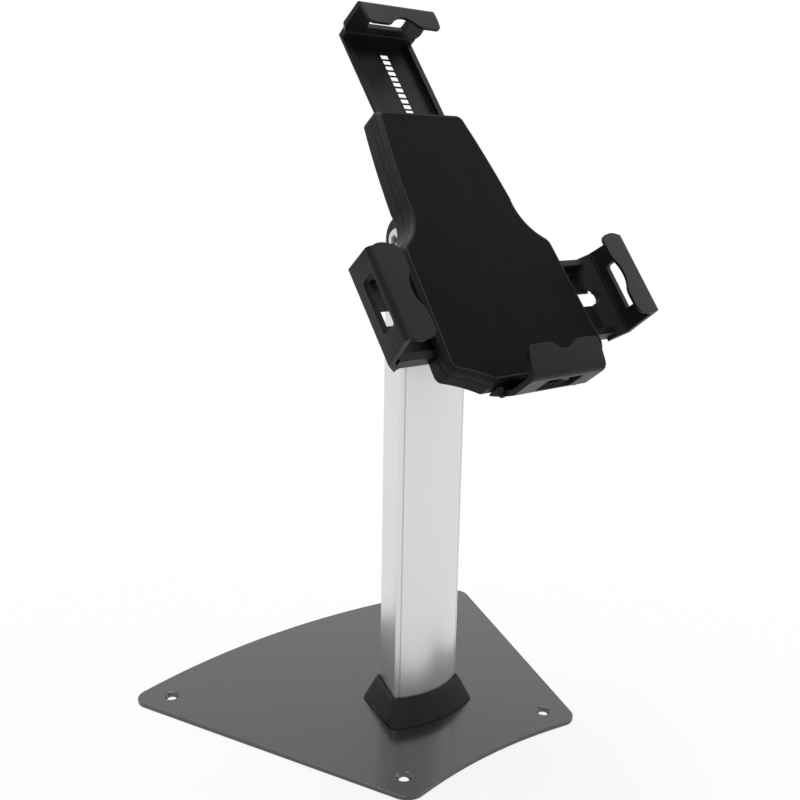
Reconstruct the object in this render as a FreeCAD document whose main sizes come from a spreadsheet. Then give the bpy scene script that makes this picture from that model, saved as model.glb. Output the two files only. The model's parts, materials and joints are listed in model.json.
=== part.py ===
"""Desktop tablet stand: weighted plate, extruded column, tilting and swivelling clamp holder.

Millimetres, +Z up. The origin is on the underside of the base plate, on the column's axis.
The stand faces -Y. The holder is drawn in its own axes, U to the right (X), V up along the
tablet and W out of its front face, and is then leaned back about the tilt pivot.
"""
import FreeCAD, Part
import math
import os
from types import SimpleNamespace

import Sketcher
from FreeCAD import Placement, Rotation, Vector

SIZES = {
    # Base plate
    "plate_thick": 2.5,
    "plate_front_half": 66.9,
    "plate_front_edge": 79.5,
    "plate_front_bow": 7.5,
    "plate_back_half": 142.6,
    "plate_back_edge": 109.4,
    "plate_back_bow": 23.1,
    "plate_corner": 11.0,
    "desk_hole": 5.6,
    "desk_sink": 10.6,
    "front_hole_side_inset": 10.4,
    "front_hole_inset": 19.5,
    "back_hole_side_inset": 23.1,
    "back_hole_inset": 12.4,
    # Column extrusion
    "column_length": 255.5,
    "column_front_half": 25.2,
    "column_front_face": 11.9,
    "column_front_bow": 6.6,
    "column_back_half": 14.3,
    "column_back_face": 16.5,
    "column_edge": 1.6,
    "column_wall": 2.4,
    "groove_inset": 2.4,
    "groove_wide": 0.9,
    "groove_deep": 2.2,
    "port_front_face": 7.6,
    "port_back_half": 6.0,
    "port_back_face": 12.0,
    "port_land": 3.9,
    # Foot collar
    "collar_tall": 15.0,
    "collar_gap": 0.4,
    "collar_rim": 1.7,
    "collar_skirt": 8.3,
    "collar_bevel": 0.8,
    "collar_corner": 6.0,
    # Screws
    "screw_size": 3.5,
    "screw_length": 16.0,
    "screw_head": 6.6,
    "screw_head_tall": 2.4,
    "screw_fit": 0.1,
    "screw_play": 0.5,
    "small_screw": 2.6,
    "small_head": 5.0,
    "small_fit": 0.05,
    # Column cap and tilt pivot
    "cap_thick": 8.0,
    "pivot_rise": 27.7,
    "ear_radius": 13.9,
    "ear_inner": 10.8,
    "ear_thick": 6.0,
    "washer_thick": 0.6,
    "washer_half": 12.5,
    "bolt_size": 8.0,
    "bolt_fit": 0.1,
    "bolt_head": 14.4,
    "bolt_head_tall": 4.6,
    "bolt_socket": 5.4,
    "nut_flats": 13.0,
    "nut_tall": 6.5,
    "nut_washer_half": 8.0,
    "nut_washer_thick": 1.6,
    # Knuckle and swivel
    "lean": 37.5,
    "pivot_v": 20.3,
    "pivot_back": 38.5,
    "lug_radius": 13.4,
    "hub_radius": 22.0,
    "hub_rise": 3.1,
    "swivel_washer_thick": 0.5,
    "disc_radius": 20.0,
    "disc_thick": 3.8,
    "spindle_radius": 7.0,
    "spindle_fit": 0.05,
    "retainer_radius": 12.0,
    "retainer_thick": 2.2,
    "retainer_circle": 3.9,
    "hub_wall": 2.2,
    # Housing outline, right half
    "top_half": 31.8,
    "top_reach": 79.8,
    "waist_half": 39.9,
    "waist_level": 20.4,
    "waist_bow": 0.7,
    "flare_bow": 4.1,
    "shoulder_half": 54.9,
    "shoulder_level": 7.0,
    "base_half": 57.6,
    "base_level": 78.0,
    "scoop_half": 33.0,
    "scoop_reach": 88.2,
    "scoop_bow": 0.8,
    # Housing shells
    "shell_wall": 2.3,
    "front_depth": 6.2,
    "floor_depth": 14.5,
    "back_depth": 16.7,
    "front_bevel": 2.2,
    "back_bevel": 2.9,
    "corner_round": 3.0,
    "pad_rim": 2.5,
    "pad_gap": 0.3,
    "pad_thick": 1.5,
    "skin_thick": 1.4,
    "boss_radius": 2.7,
    "top_screw_half": 29.4,
    "top_screw_level": 55.0,
    "middle_screw_half": 45.0,
    "middle_screw_level": 11.8,
    "low_screw_half": 38.0,
    "low_screw_level": 76.5,
    # Sliding arms
    "slide_gap": 0.2,
    "rail_half": 25.3,
    "side_rail_half": 24.7,
    "rail_front": 6.5,
    "rail_back": 14.4,
    "flange_thick": 3.9,
    "flange_step_wide": 1.4,
    "flange_step_tall": 0.8,
    "top_rail_end": 31.0,
    "top_rail_bevel": 6.0,
    "top_floor": 4.6,
    "slot_skin": 0.7,
    "slot_room_half": 5.5,
    "slot_room_side": 2.1,
    "slot_room_past": 2.6,
    "slot_first": 127.2,
    "slot_pitch": 4.0,
    "slot_count": 23,
    "slot_wide": 5.8,
    "slot_tall": 3.2,
    "slot_side": 3.3,
    # All jaws
    "jaw_front": 18.3,
    "lip_thick": 1.6,
    "jaw_wall": 3.0,
    "jaw_round": 2.6,
    "ridge_wide": 0.5,
    "window_half": 13.2,
    "window_low": 2.2,
    "window_high": 13.5,
    "window_corner": 1.5,
    # Top jaw
    "top_wall_reach": 139.6,
    "top_lean": 0.6,
    "top_bevel": 3.2,
    "top_ridge_back": 2.8,
    "top_wall_half": 27.4,
    "top_shelf_front": 0.9,
    "top_shelf_tall": 3.6,
    "top_lip_deep": 15.3,
    "top_lip_half": 26.4,
    "top_tip_half": 26.0,
    "top_end_bow": 0.4,
    "top_lip_corner": 3.5,
    "top_notch_half": 8.0,
    "top_notch_ease": 5.5,
    "top_notch_deep": 5.8,
    # Side arms
    "side_level": 42.8,
    "side_floor": 3.1,
    "side_rail_end": 27.0,
    "recess_half": 16.7,
    "recess_end": 82.0,
    "lap_gap": 0.2,
    "tongue_end": 19.0,
    "rack_window_start": 15.0,
    "rack_window_end": 27.5,
    "side_slot_half": 4.4,
    "side_slot_end": 82.6,
    "side_slot_corner": 3.6,
    "side_wall_reach": 92.2,
    "side_lean": 3.2,
    "side_bevel": 9.4,
    "side_ridge_back": 2.8,
    "side_foot_half": 26.4,
    "side_lip_deep": 18.6,
    "side_lip_half": 24.8,
    "side_tip_half": 25.4,
    "side_end_bow": 1.2,
    "side_lip_corner": 5.0,
    "side_notch_half": 8.5,
    "side_notch_ease": 5.0,
    "side_notch_deep": 4.0,
    "side_window_half": 14.1,
    "side_window_drop": 0.3,
    # Rack and pinion
    "pinion_level": 41.5,
    "pinion_pitch": 4.8,
    "tooth_module": 0.8,
    "tooth_backlash": 0.18,
    "tooth_clear": 0.2,
    "rack_count": 14,
    "pinion_teeth": 12,
    "axle_size": 4.0,
    "axle_fit": 0.05,
    "axle_head": 7.4,
    "axle_head_tall": 1.2,
    # Bottom jaw
    "low_wall_reach": 97.1,
    "low_wall_front": 14.4,
    "low_bend_deep": 2.9,
    "low_bend_front": 19.0,
    "low_bend_bow": 0.9,
    "low_lip_deep": 16.8,
    "low_lip_thick": 3.0,
    "low_lip_front": 22.7,
    "low_turn_front": 1.0,
    "low_foot_inset": 7.5,
    "low_back_bow": 0.4,
    "low_half": 26.8,
    "low_tip_half": 25.9,
    "low_end_bow": 0.4,
    "low_lip_corner": 3.4,
    "low_notch_half": 7.0,
    "low_notch_ease": 4.5,
    "low_notch_deep": 4.0,
    "low_ear_half": 31.0,
    "low_ear_front": 4.4,
    "low_ear_thick": 2.2,
    "low_ear_inset": 2.5,
    "low_ear_gap": 0.8,
    "low_tongue_half": 22.0,
    "low_tongue_end": 73.0,
    "low_tongue_thick": 2.4,
    "low_screw_across": 14.0,
    "low_screw_up": 78.5,
    # Jaw pads
    "grip_thick": 1.8,
    "grip_inset": 1.5,
    "grip_back": 4.0,
    "grip_foot": 4.2,
    # Lock
    "lock_slots": 17,
    "barrel_radius": 9.0,
    "plug_radius": 5.0,
    "lock_fit": 0.1,
    "lock_long": 8.3,
    "plug_long": 3.9,
    "pawl_base": 1.5,
    "pawl_wide": 4.6,
    "pawl_tall": 2.0,
    "pawl_play": 0.1,
    "keyway_wide": 1.6,
    "keyway_long": 6.0,
}

# A little past a face, so that a cut goes cleanly through it
PAST = 1.0
NEAR = 0.02
# Bow of a quarter circle, as a share of its radius
QUARTER_BOW = 1 - math.sqrt(0.5)
# Ways that the housing's edges leave its rounded corners, across and along
SCOOP_WAY = (0.92, 0.38)
FLARE_WAY = (0.85, 0.53)
SIDE_WAY = (0.13, 1.0)
# Bows of the housing's bottom, shoulder and top corners, as shares of the corner's cut
BASE_CORNER, SHOULDER_CORNER, TOP_CORNER = 0.25, 0.23, 0.28
# How far the slanted corners of the housing move along for an inset of one
SCOOP_INSET, BASE_INSET, SHOULDER_INSET = 0.2, 0.67, 0.56
# The column's bowed front needs this much more growth than its flat sides
FRONT_GROWTH = 1.15
# Shares of the cut at the collar's corners: at the front, at the side, and at the slanted back
FRONT_CUT, SIDE_CUT, BACK_CUT = 0.25, 0.2, 0.35
# Share of the collar's own front bow, and pressure angle of the teeth in degrees
COLLAR_BOW = 0.75
TOOTH_ANGLE = 20
# The pinion's teeth widen by this share of a straight flank below the pitch circle
ROOT_SHARE = 0.7


class Size(float):
    """A length that keeps the sheet formula it was worked out from."""

    def __new__(cls, number, formula):
        size = super().__new__(cls, number)
        size.formula = formula
        return size

    def _join(self, other, mark, number):
        return Size(number, f"({formula(self)} {mark} {formula(other)})")

    def __add__(self, other):
        return self._join(other, "+", float(self) + float(other))

    def __radd__(self, other):
        return Size(float(other) + float(self), f"({formula(other)} + {self.formula})")

    def __sub__(self, other):
        return self._join(other, "-", float(self) - float(other))

    def __rsub__(self, other):
        return Size(float(other) - float(self), f"({formula(other)} - {self.formula})")

    def __mul__(self, other):
        return self._join(other, "*", float(self) * float(other))

    __rmul__ = __mul__

    def __truediv__(self, other):
        return self._join(other, "/", float(self) / float(other))

    def __neg__(self):
        return Size(-float(self), f"(-1 * {self.formula})")


def formula(number):
    """The text that stands for a number in an expression."""
    return getattr(number, "formula", repr(float(number)))


doc = FreeCAD.newDocument("TabletStand")
sheet = doc.addObject("Spreadsheet::Sheet", "Sizes")
for row, (alias, number) in enumerate(SIZES.items(), start=1):
    sheet.set(f"A{row}", alias)
    sheet.set(f"B{row}", str(number))
    sheet.setAlias(f"B{row}", alias)
doc.recompute()
z = SimpleNamespace(**{alias: Size(sheet.get(alias), f"Sizes.{alias}") for alias in SIZES})

# Worked-out places that several pieces share
column_top = z.plate_thick + z.column_length
cap_top = column_top + z.cap_thick
pivot_height = cap_top + z.pivot_rise
ear_outer = z.ear_inner + z.ear_thick
lug_half = z.ear_inner - z.washer_thick
port_front_half = ear_outer + z.screw_head / 2 + z.slide_gap
hub_back = z.back_depth + z.hub_rise
washer_back = hub_back + z.swivel_washer_thick
disc_back = washer_back + z.disc_thick
hub_floor = hub_back - z.hub_wall
retainer_back = hub_floor - z.slide_gap
boss_hole = z.small_screw + 2 * z.small_fit
side_front = z.rail_back - z.side_floor
lap_half = (z.side_floor - z.lap_gap) / 2
lip_back = z.jaw_front - z.lip_thick
lock_level = z.slot_first - z.lock_slots * z.slot_pitch
top_foot = z.top_wall_reach - z.top_lean
top_lip_edge = z.top_wall_reach - z.top_lip_deep
side_foot = z.side_wall_reach - z.side_lean
side_lip_edge = z.side_wall_reach - z.side_lip_deep
low_bend_reach = z.low_wall_reach - z.low_bend_deep
low_lip_edge = z.low_wall_reach - z.low_lip_deep
tooth_slope = z.tooth_module * math.tan(math.radians(TOOTH_ANGLE))
lean_turn = Rotation(Vector(1, 0, 0), 90 - z.lean)
pivot_local = Vector(0, z.pivot_v, -z.pivot_back)
holder_base = Vector(0, 0, pivot_height) - lean_turn.multVec(pivot_local)
STAND = Placement()
HOLDER = Placement(holder_base, lean_turn)
HOUSING_SCREWS = (
    (z.top_screw_half, z.top_screw_level),
    (z.middle_screw_half, -z.middle_screw_level),
    (z.low_screw_half, -z.low_screw_level),
)
PARTS = []


def bind(thing, path, size):
    """Set a property, and tie it to the sheet where the size comes from there."""
    if isinstance(size, Size):
        thing.setExpression(path, size.formula)
    elif "." not in path:
        setattr(thing, path, float(size))


def new_body(label, place):
    """Start one piece as a PartDesign body."""
    body = doc.addObject("PartDesign::Body", label)
    body.Label = label
    body.Placement = place
    PARTS.append(body)
    return body


def new_sketch(body, role, offset=0.0):
    """Start a sketch on one of the body's own origin planes, moved along the plane's normal."""
    sketch = body.newObject("Sketcher::SketchObject", f"Sketch_of_{body.Name}")
    plane = next(item for item in body.Origin.OriginFeatures if item.Role == role)
    sketch.AttachmentSupport = [(plane, "")]
    sketch.MapMode = "FlatFace"
    sketch.AttachmentOffset = Placement(Vector(0, 0, float(offset)), Rotation())
    bind(sketch, "AttachmentOffset.Base.z", offset)
    return sketch


def pin_point(sketch, geometry, end, x, y):
    """Tie one point of a sketch to its two coordinates."""
    for kind, axis, place in (("DistanceX", -2, x), ("DistanceY", -1, y)):
        if float(place) == 0.0:
            sketch.addConstraint(Sketcher.Constraint("PointOnObject", geometry, end, axis))
            continue
        row = sketch.addConstraint(Sketcher.Constraint(kind, -1, 1, geometry, end, float(place)))
        name = f"{kind[-1].lower()}{geometry}_{end}"
        sketch.renameConstraint(row, name)
        bind(sketch, f"Constraints.{name}", place)


def add_arc(sketch, start, end, bow):
    """Add an arc between two points, bulging to the right of the way from start to end."""
    chord = end - start
    left = Vector(-chord.y, chord.x, 0).normalize()
    radius = (chord.Length ** 2 / 4 + bow ** 2) / (2 * abs(bow))
    side = math.copysign(1, bow)
    centre = (start + end) / 2 + left * (radius - abs(bow)) * side
    first, last = (start, end) if bow > 0 else (end, start)
    angles = [math.atan2(p.y - centre.y, p.x - centre.x) for p in (first, last)]
    circle = Part.Circle(centre, Vector(0, 0, 1), radius)
    sketch.addGeometry(Part.ArcOfCircle(circle, *angles), False)


def add_outline(sketch, points, bows=None):
    """Add a closed outline through points, with an arc of a given bow after some of them."""
    bows = bows or {}
    first = sketch.GeometryCount
    count = len(points)
    spots = [Vector(float(x), float(y), 0) for x, y in points]
    ends = []
    for index in range(count):
        start, end = spots[index], spots[(index + 1) % count]
        bow = bows.get(index, 0)
        if float(bow):
            add_arc(sketch, start, end, float(bow))
        else:
            sketch.addGeometry(Part.LineSegment(start, end), False)
        ends.append((1, 2) if float(bow) >= 0 else (2, 1))
    for index in range(count):
        after = (index + 1) % count
        joint = (first + index, ends[index][1], first + after, ends[after][0])
        sketch.addConstraint(Sketcher.Constraint("Coincident", *joint))
    for index, (x, y) in enumerate(points):
        pin_point(sketch, first + index, ends[index][0], x, y)
    for index, bow in bows.items():
        dx = points[(index + 1) % count][0] - points[index][0]
        dy = points[(index + 1) % count][1] - points[index][1]
        side = 1 if float(bow) > 0 else -1
        radius = ((dx * dx + dy * dy) / 4 + bow * bow) / (2 * side * bow)
        if abs(radius - abs(bow)) < NEAR:
            pin_half_circle(sketch, first + index, points[index], abs(dy) < NEAR)
            continue
        row = sketch.addConstraint(Sketcher.Constraint("Radius", first + index, float(radius)))
        sketch.renameConstraint(row, f"radius{index}")
        bind(sketch, f"Constraints.radius{index}", radius)


def pin_half_circle(sketch, geometry, start, level):
    """Keep the centre of a half circle on the line between its ends."""
    kind, place = ("DistanceY", start[1]) if level else ("DistanceX", start[0])
    if float(place) == 0.0:
        axis = -1 if level else -2
        sketch.addConstraint(Sketcher.Constraint("PointOnObject", geometry, 3, axis))
        return
    row = sketch.addConstraint(Sketcher.Constraint(kind, -1, 1, geometry, 3, float(place)))
    sketch.renameConstraint(row, f"centre{geometry}")
    bind(sketch, f"Constraints.centre{geometry}", place)


def add_box(sketch, low, high):
    """Add a rectangle between two corners."""
    add_outline(sketch, [low, (high[0], low[1]), high, (low[0], high[1])])


def add_circle(sketch, x, y, diameter):
    """Add a circle."""
    index = sketch.GeometryCount
    centre = Vector(float(x), float(y), 0)
    sketch.addGeometry(Part.Circle(centre, Vector(0, 0, 1), float(diameter) / 2), False)
    pin_point(sketch, index, 3, x, y)
    row = sketch.addConstraint(Sketcher.Constraint("Diameter", index, float(diameter)))
    sketch.renameConstraint(row, f"diameter{index}")
    bind(sketch, f"Constraints.diameter{index}", diameter)


def add_hexagon(sketch, x, y, flats):
    """Add a hexagon, given the distance across its flats."""
    corner = flats / math.sqrt(3)
    points = []
    for step in range(6):
        angle = math.radians(60 * step)
        points.append((x + corner * math.cos(angle), y + corner * math.sin(angle)))
    add_outline(sketch, points)


def extrude(body, kind, sketch, length, both=False, back=False):
    """Pad or pocket a sketch: both ways about its plane, or against the plane's normal."""
    feature = body.newObject(f"PartDesign::{kind}", f"{kind}_of_{body.Name}")
    feature.Profile = sketch
    feature.Length = float(length)
    bind(feature, "Length", length)
    feature.SideType = "Symmetric" if both else "One side"
    feature.Reversed = back
    sketch.Visibility = False
    body.Tip = feature
    return feature


def pad(body, sketch, length, both=False, back=False):
    """Add a sketch's area, as a length of material."""
    return extrude(body, "Pad", sketch, length, both, back)


def pocket(body, sketch, length, both=False, back=False):
    """Cut a sketch's area away; without back the cut goes against the plane's normal."""
    return extrude(body, "Pocket", sketch, length, both, back)


def edges_where(body, test):
    """Names of the edges of the body's last feature that pass a test."""
    doc.recompute()
    edges = body.Tip.Shape.Edges
    return [f"Edge{number}" for number, edge in enumerate(edges, start=1) if test(edge)]


def dress(body, kind, size, test):
    """Fillet or chamfer the edges that pass a test."""
    names = edges_where(body, test)
    base = body.Tip
    feature = body.newObject(f"PartDesign::{kind}", f"{kind}_of_{body.Name}")
    feature.Base = (base, names)
    bind(feature, "Radius" if kind == "Fillet" else "Size", size)
    body.Tip = feature
    return feature


def runs_along(edge, axis):
    """Whether an edge is straight along one axis, 0 to 2."""
    if len(edge.Vertexes) < 2:
        return False
    way = edge.Vertexes[1].Point - edge.Vertexes[0].Point
    return abs(abs(way[axis]) - edge.Length) < NEAR and way.Length > NEAR


def at_level(edge, axis, level):
    """Whether the whole edge lies at one level of an axis, in the body's own frame."""
    box = edge.BoundBox
    low = (box.XMin, box.YMin, box.ZMin)[axis]
    high = (box.XMax, box.YMax, box.ZMax)[axis]
    return abs(low - float(level)) < NEAR and abs(high - float(level)) < NEAR


def mirrored(points):
    """A right half listed from bottom to top, closed with its left half."""
    return list(points) + [(-x, y) for x, y in reversed(points)]


def polar(body, count):
    """Repeat the last feature round the body's Z axis."""
    base = body.Tip
    pattern = body.newObject("PartDesign::PolarPattern", f"Ring_of_{body.Name}")
    pattern.Originals = [base]
    axis = next(item for item in body.Origin.OriginFeatures if item.Role == "Z_Axis")
    pattern.Axis = (axis, [""])
    pattern.Occurrences = int(count)
    pattern.Angle = 360
    body.Tip = pattern


def in_row(body, role, pitch, count, back=False):
    """Repeat the last feature along one of the body's axes."""
    base = body.Tip
    pattern = body.newObject("PartDesign::LinearPattern", f"Row_of_{body.Name}")
    pattern.Originals = [base]
    axis = next(item for item in body.Origin.OriginFeatures if item.Role == role)
    pattern.Direction = (axis, [""])
    pattern.Reversed = back
    pattern.Mode = "Spacing"
    pattern.Occurrences = int(count)
    bind(pattern, "Offset", pitch)
    body.Tip = pattern


def flat_screw(size, head, length):
    """A countersunk screw that points up +Z, with its flat head at Z = 0."""
    taper = (head - size) / 2
    cone = Part.makeCone(head / 2, size / 2, taper)
    shank = Part.makeCylinder(size / 2, length, Vector(0, 0, 0))
    drive = Part.makeCylinder(size / 4, taper, Vector(0, 0, 0))
    return cone.fuse(shank).cut(drive).removeSplitter()


def pan_screw(size, head, tall, length):
    """A cylinder-head screw that points down -Z, with the seat of its head at Z = 0."""
    shank = Part.makeCylinder(size / 2, length, Vector(0, 0, -length))
    top = Part.makeCylinder(head / 2, tall)
    top = top.makeFillet(tall / 4, [top.Edges[0]])
    drive = Part.makeCylinder(size / 3, tall / 2, Vector(0, 0, tall / 2))
    return shank.fuse(top).cut(drive).removeSplitter()


def screw_group(label, screw, spots, place):
    """One node of identical screws, each a separate solid."""
    solids = []
    for spot in spots:
        copy = screw.copy()
        copy.translate(spot)
        solids.append(copy)
    group = doc.addObject("Part::Feature", label)
    group.Label = label
    group.Shape = Part.makeCompound(solids)
    group.Placement = place
    PARTS.append(group)
    return group


def port_spots():
    """Places of the four screw ports of the column, seen from above."""
    front = [(side * port_front_half, -z.port_front_face) for side in (-1, 1)]
    return front + [(side * z.port_back_half, z.port_back_face) for side in (-1, 1)]


def add_column_section(sketch, grow, cut=0.0):
    """Add the section of the column, grown by a margin, with its corners cut back and rounded."""
    front_x, front_y = z.column_front_half + grow, -z.column_front_face - grow * FRONT_GROWTH
    back_x, back_y = z.column_back_half + grow, z.column_back_face + grow
    if not float(cut):
        add_outline(sketch, mirrored([(front_x, front_y), (back_x, back_y)]), {3: z.column_front_bow})
        return
    points = mirrored([(front_x - cut, front_y - cut * FRONT_CUT),
                       (front_x - cut * SIDE_CUT, front_y + cut),
                       (back_x + cut * BACK_CUT, back_y - cut), (back_x - cut, back_y)])
    bow = cut * QUARTER_BOW
    add_outline(sketch, points, {0: bow, 2: bow, 4: bow, 6: bow, 7: z.column_front_bow * COLLAR_BOW})


def make_base_plate():
    """Flat steel plate with four countersunk holes for the desk and four for the column."""
    body = new_body("base_plate", STAND)
    sketch = new_sketch(body, "XY_Plane")
    half = [(z.plate_front_half, -z.plate_front_edge), (z.plate_back_half, z.plate_back_edge)]
    add_outline(sketch, mirrored(half), {1: z.plate_back_bow, 3: -z.plate_front_bow})
    pad(body, sketch, z.plate_thick)
    dress(body, "Fillet", z.plate_corner, lambda edge: runs_along(edge, 2))
    holes = new_sketch(body, "XY_Plane", z.plate_thick)
    for side in (-1, 1):
        add_circle(holes, side * (z.plate_front_half - z.front_hole_side_inset),
                   -(z.plate_front_edge - z.front_hole_inset), z.desk_hole)
        add_circle(holes, side * (z.plate_back_half - z.back_hole_side_inset),
                   z.plate_back_edge - z.back_hole_inset, z.desk_hole)
    pocket(body, holes, z.plate_thick + PAST)
    sink = (z.desk_sink - z.desk_hole) / 2
    rim = math.pi * float(z.desk_hole)
    dress(body, "Chamfer", sink * 0.8,
          lambda edge: at_level(edge, 2, z.plate_thick) and abs(edge.Length - rim) < NEAR)
    ports = new_sketch(body, "XY_Plane", z.plate_thick)
    port_hole = z.screw_size + z.screw_play
    for x, y in port_spots():
        add_circle(ports, x, y, port_hole)
    pocket(body, ports, z.plate_thick + PAST)
    port_rim = math.pi * float(port_hole)
    dress(body, "Chamfer", (z.screw_head - z.screw_size) / 2,
          lambda edge: at_level(edge, 2, 0) and abs(edge.Length - port_rim) < NEAR)


def make_column():
    """Aluminium extrusion with a bowed front, two dark grooves and four screw ports."""
    body = new_body("column", STAND)
    sketch = new_sketch(body, "XY_Plane", z.plate_thick)
    add_column_section(sketch, 0 * z.column_wall)
    pad(body, sketch, z.column_length)
    dress(body, "Fillet", z.column_edge, lambda edge: runs_along(edge, 2))
    slope = (z.column_front_half - z.column_back_half) / (z.column_front_face + z.column_back_face)
    land_front = z.port_front_face - z.port_land
    land_back = z.port_back_face - z.port_land
    wide = z.column_front_half - z.column_wall - slope * (z.column_front_face - land_front)
    narrow = z.column_front_half - z.column_wall - slope * (z.column_front_face + land_back)
    inner = port_front_half - z.port_land
    front = -z.column_front_face - z.column_wall / 2
    hollow = new_sketch(body, "XY_Plane", z.plate_thick)
    add_outline(hollow, mirrored([(inner, front), (inner, -land_front), (wide, -land_front),
                                  (narrow, land_back)]))
    pocket(body, hollow, z.column_length + PAST, back=True)
    ports = new_sketch(body, "XY_Plane", z.plate_thick)
    for x, y in port_spots():
        add_circle(ports, x, y, z.screw_size + z.screw_fit)
    pocket(body, ports, z.column_length + PAST, back=True)
    grooves = new_sketch(body, "XY_Plane", z.plate_thick)
    outer = z.column_front_half - z.groove_inset
    for side in (-1, 1):
        low = (side * (outer - z.groove_wide), -z.column_front_face - z.column_front_bow)
        high = (side * outer, -z.column_front_face - z.column_front_bow / 2 + z.groove_deep)
        add_box(grooves, low, high)
    pocket(body, grooves, z.column_length + PAST, back=True)


def make_foot_collar():
    """Moulded skirt round the foot of the column, wider at the plate, with a bevelled rim."""
    body = new_body("foot_collar", STAND)
    rim = z.collar_gap + z.collar_rim
    top = z.plate_thick + z.collar_tall
    stages = ((z.plate_thick, z.collar_skirt, z.collar_corner),
              (top - z.collar_bevel, rim, z.collar_corner / 2),
              (top, rim - z.collar_bevel, z.collar_corner / 2))
    for (low, wide, wide_cut), (high, slim, slim_cut) in zip(stages, stages[1:]):
        loft_sections(body, (low, wide, wide_cut), (high, slim, slim_cut))
    hole = new_sketch(body, "XY_Plane", z.plate_thick)
    add_column_section(hole, z.collar_gap)
    pocket(body, hole, z.collar_tall + PAST, back=True)


def loft_sections(body, low, high):
    """Loft between two column sections, each given by its height, growth and corner cut."""
    sketches = []
    for level, grow, cut in (low, high):
        sketch = new_sketch(body, "XY_Plane", level)
        add_column_section(sketch, grow, cut)
        sketches.append(sketch)
    loft = body.newObject("PartDesign::AdditiveLoft", f"Loft_of_{body.Name}")
    loft.Profile = sketches[0]
    loft.Sections = sketches[1:]
    loft.Ruled = True
    body.Tip = loft


def make_column_cap():
    """Cast cap on the column with the two ears of the tilt pivot."""
    body = new_body("column_cap", STAND)
    base = new_sketch(body, "XY_Plane", column_top)
    add_column_section(base, 0 * z.column_wall)
    pad(body, base, z.cap_thick)
    dress(body, "Fillet", z.column_edge, lambda edge: runs_along(edge, 2))
    ears = new_sketch(body, "YZ_Plane")
    add_outline(ears, [(-z.ear_radius, cap_top - PAST), (z.ear_radius, cap_top - PAST),
                       (z.ear_radius, pivot_height), (-z.ear_radius, pivot_height)],
                {2: z.ear_radius})
    pad(body, ears, 2 * ear_outer, both=True)
    gap = new_sketch(body, "YZ_Plane")
    reach = z.ear_radius + z.column_back_face
    add_box(gap, (-reach, cap_top), (reach, pivot_height + z.ear_radius + PAST))
    pocket(body, gap, 2 * z.ear_inner, both=True)
    bore = new_sketch(body, "YZ_Plane")
    add_circle(bore, 0, pivot_height, z.bolt_size + 2 * z.bolt_fit)
    pocket(body, bore, 2 * ear_outer + 2 * PAST, both=True)
    holes = new_sketch(body, "XY_Plane", column_top)
    for x, y in port_spots():
        add_circle(holes, x, y, z.screw_size + z.screw_play)
    pocket(body, holes, z.cap_thick + PAST, back=True)


def make_column_screws():
    """Screws that hold the plate under the column and the cap on top of it."""
    foot = flat_screw(z.screw_size, z.screw_head, z.screw_length)
    screw_group("column_foot_screws", foot, [Vector(x, y, 0) for x, y in port_spots()], STAND)
    cap = pan_screw(z.screw_size, z.screw_head, z.screw_head_tall, z.screw_length)
    screw_group("cap_screws", cap, [Vector(x, y, cap_top) for x, y in port_spots()], STAND)


def make_tilt_bolt():
    """Button-head bolt through the ears, with a hexagon socket."""
    body = new_body("tilt_bolt", STAND)
    head = new_sketch(body, "YZ_Plane", -ear_outer)
    add_circle(head, 0, pivot_height, z.bolt_head)
    pad(body, head, z.bolt_head_tall, back=True)
    dress(body, "Fillet", z.bolt_head_tall * 0.6,
          lambda edge: at_level(edge, 0, -ear_outer - z.bolt_head_tall))
    shank = new_sketch(body, "YZ_Plane", -ear_outer - PAST / 2)
    add_circle(shank, 0, pivot_height, z.bolt_size)
    reach = 2 * ear_outer + z.nut_washer_thick + z.nut_tall + PAST / 2
    pad(body, shank, reach)
    socket = new_sketch(body, "YZ_Plane", -ear_outer - z.bolt_head_tall)
    add_hexagon(socket, 0, pivot_height, z.bolt_socket)
    pocket(body, socket, z.bolt_head_tall * 0.65, back=True)


def make_ring(label, offset, outer, inner, thick, place=STAND):
    """A plain washer across the tilt pivot, on the X axis."""
    body = new_body(label, place)
    sketch = new_sketch(body, "YZ_Plane", offset)
    add_circle(sketch, 0, pivot_height, outer)
    add_circle(sketch, 0, pivot_height, inner)
    pad(body, sketch, thick)
    return body


def make_tilt_nut():
    """Locking nut on the far end of the tilt bolt, over a plain washer."""
    bore = z.bolt_size + 2 * z.bolt_fit
    make_ring("nut_washer", ear_outer, 2 * z.nut_washer_half, bore, z.nut_washer_thick)
    body = new_body("tilt_nut", STAND)
    sketch = new_sketch(body, "YZ_Plane", ear_outer + z.nut_washer_thick)
    add_hexagon(sketch, 0, pivot_height, z.nut_flats)
    add_circle(sketch, 0, pivot_height, bore)
    pad(body, sketch, z.nut_tall)


def make_tilt_washers():
    """Two friction washers, one on each side of the lug."""
    body = new_body("tilt_washers", STAND)
    body.AllowCompound = True
    for offset in (-z.ear_inner, lug_half):
        sketch = new_sketch(body, "YZ_Plane", offset)
        add_circle(sketch, 0, pivot_height, 2 * z.washer_half)
        add_circle(sketch, 0, pivot_height, z.bolt_size + 2 * z.bolt_fit)
        pad(body, sketch, z.washer_thick)


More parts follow.
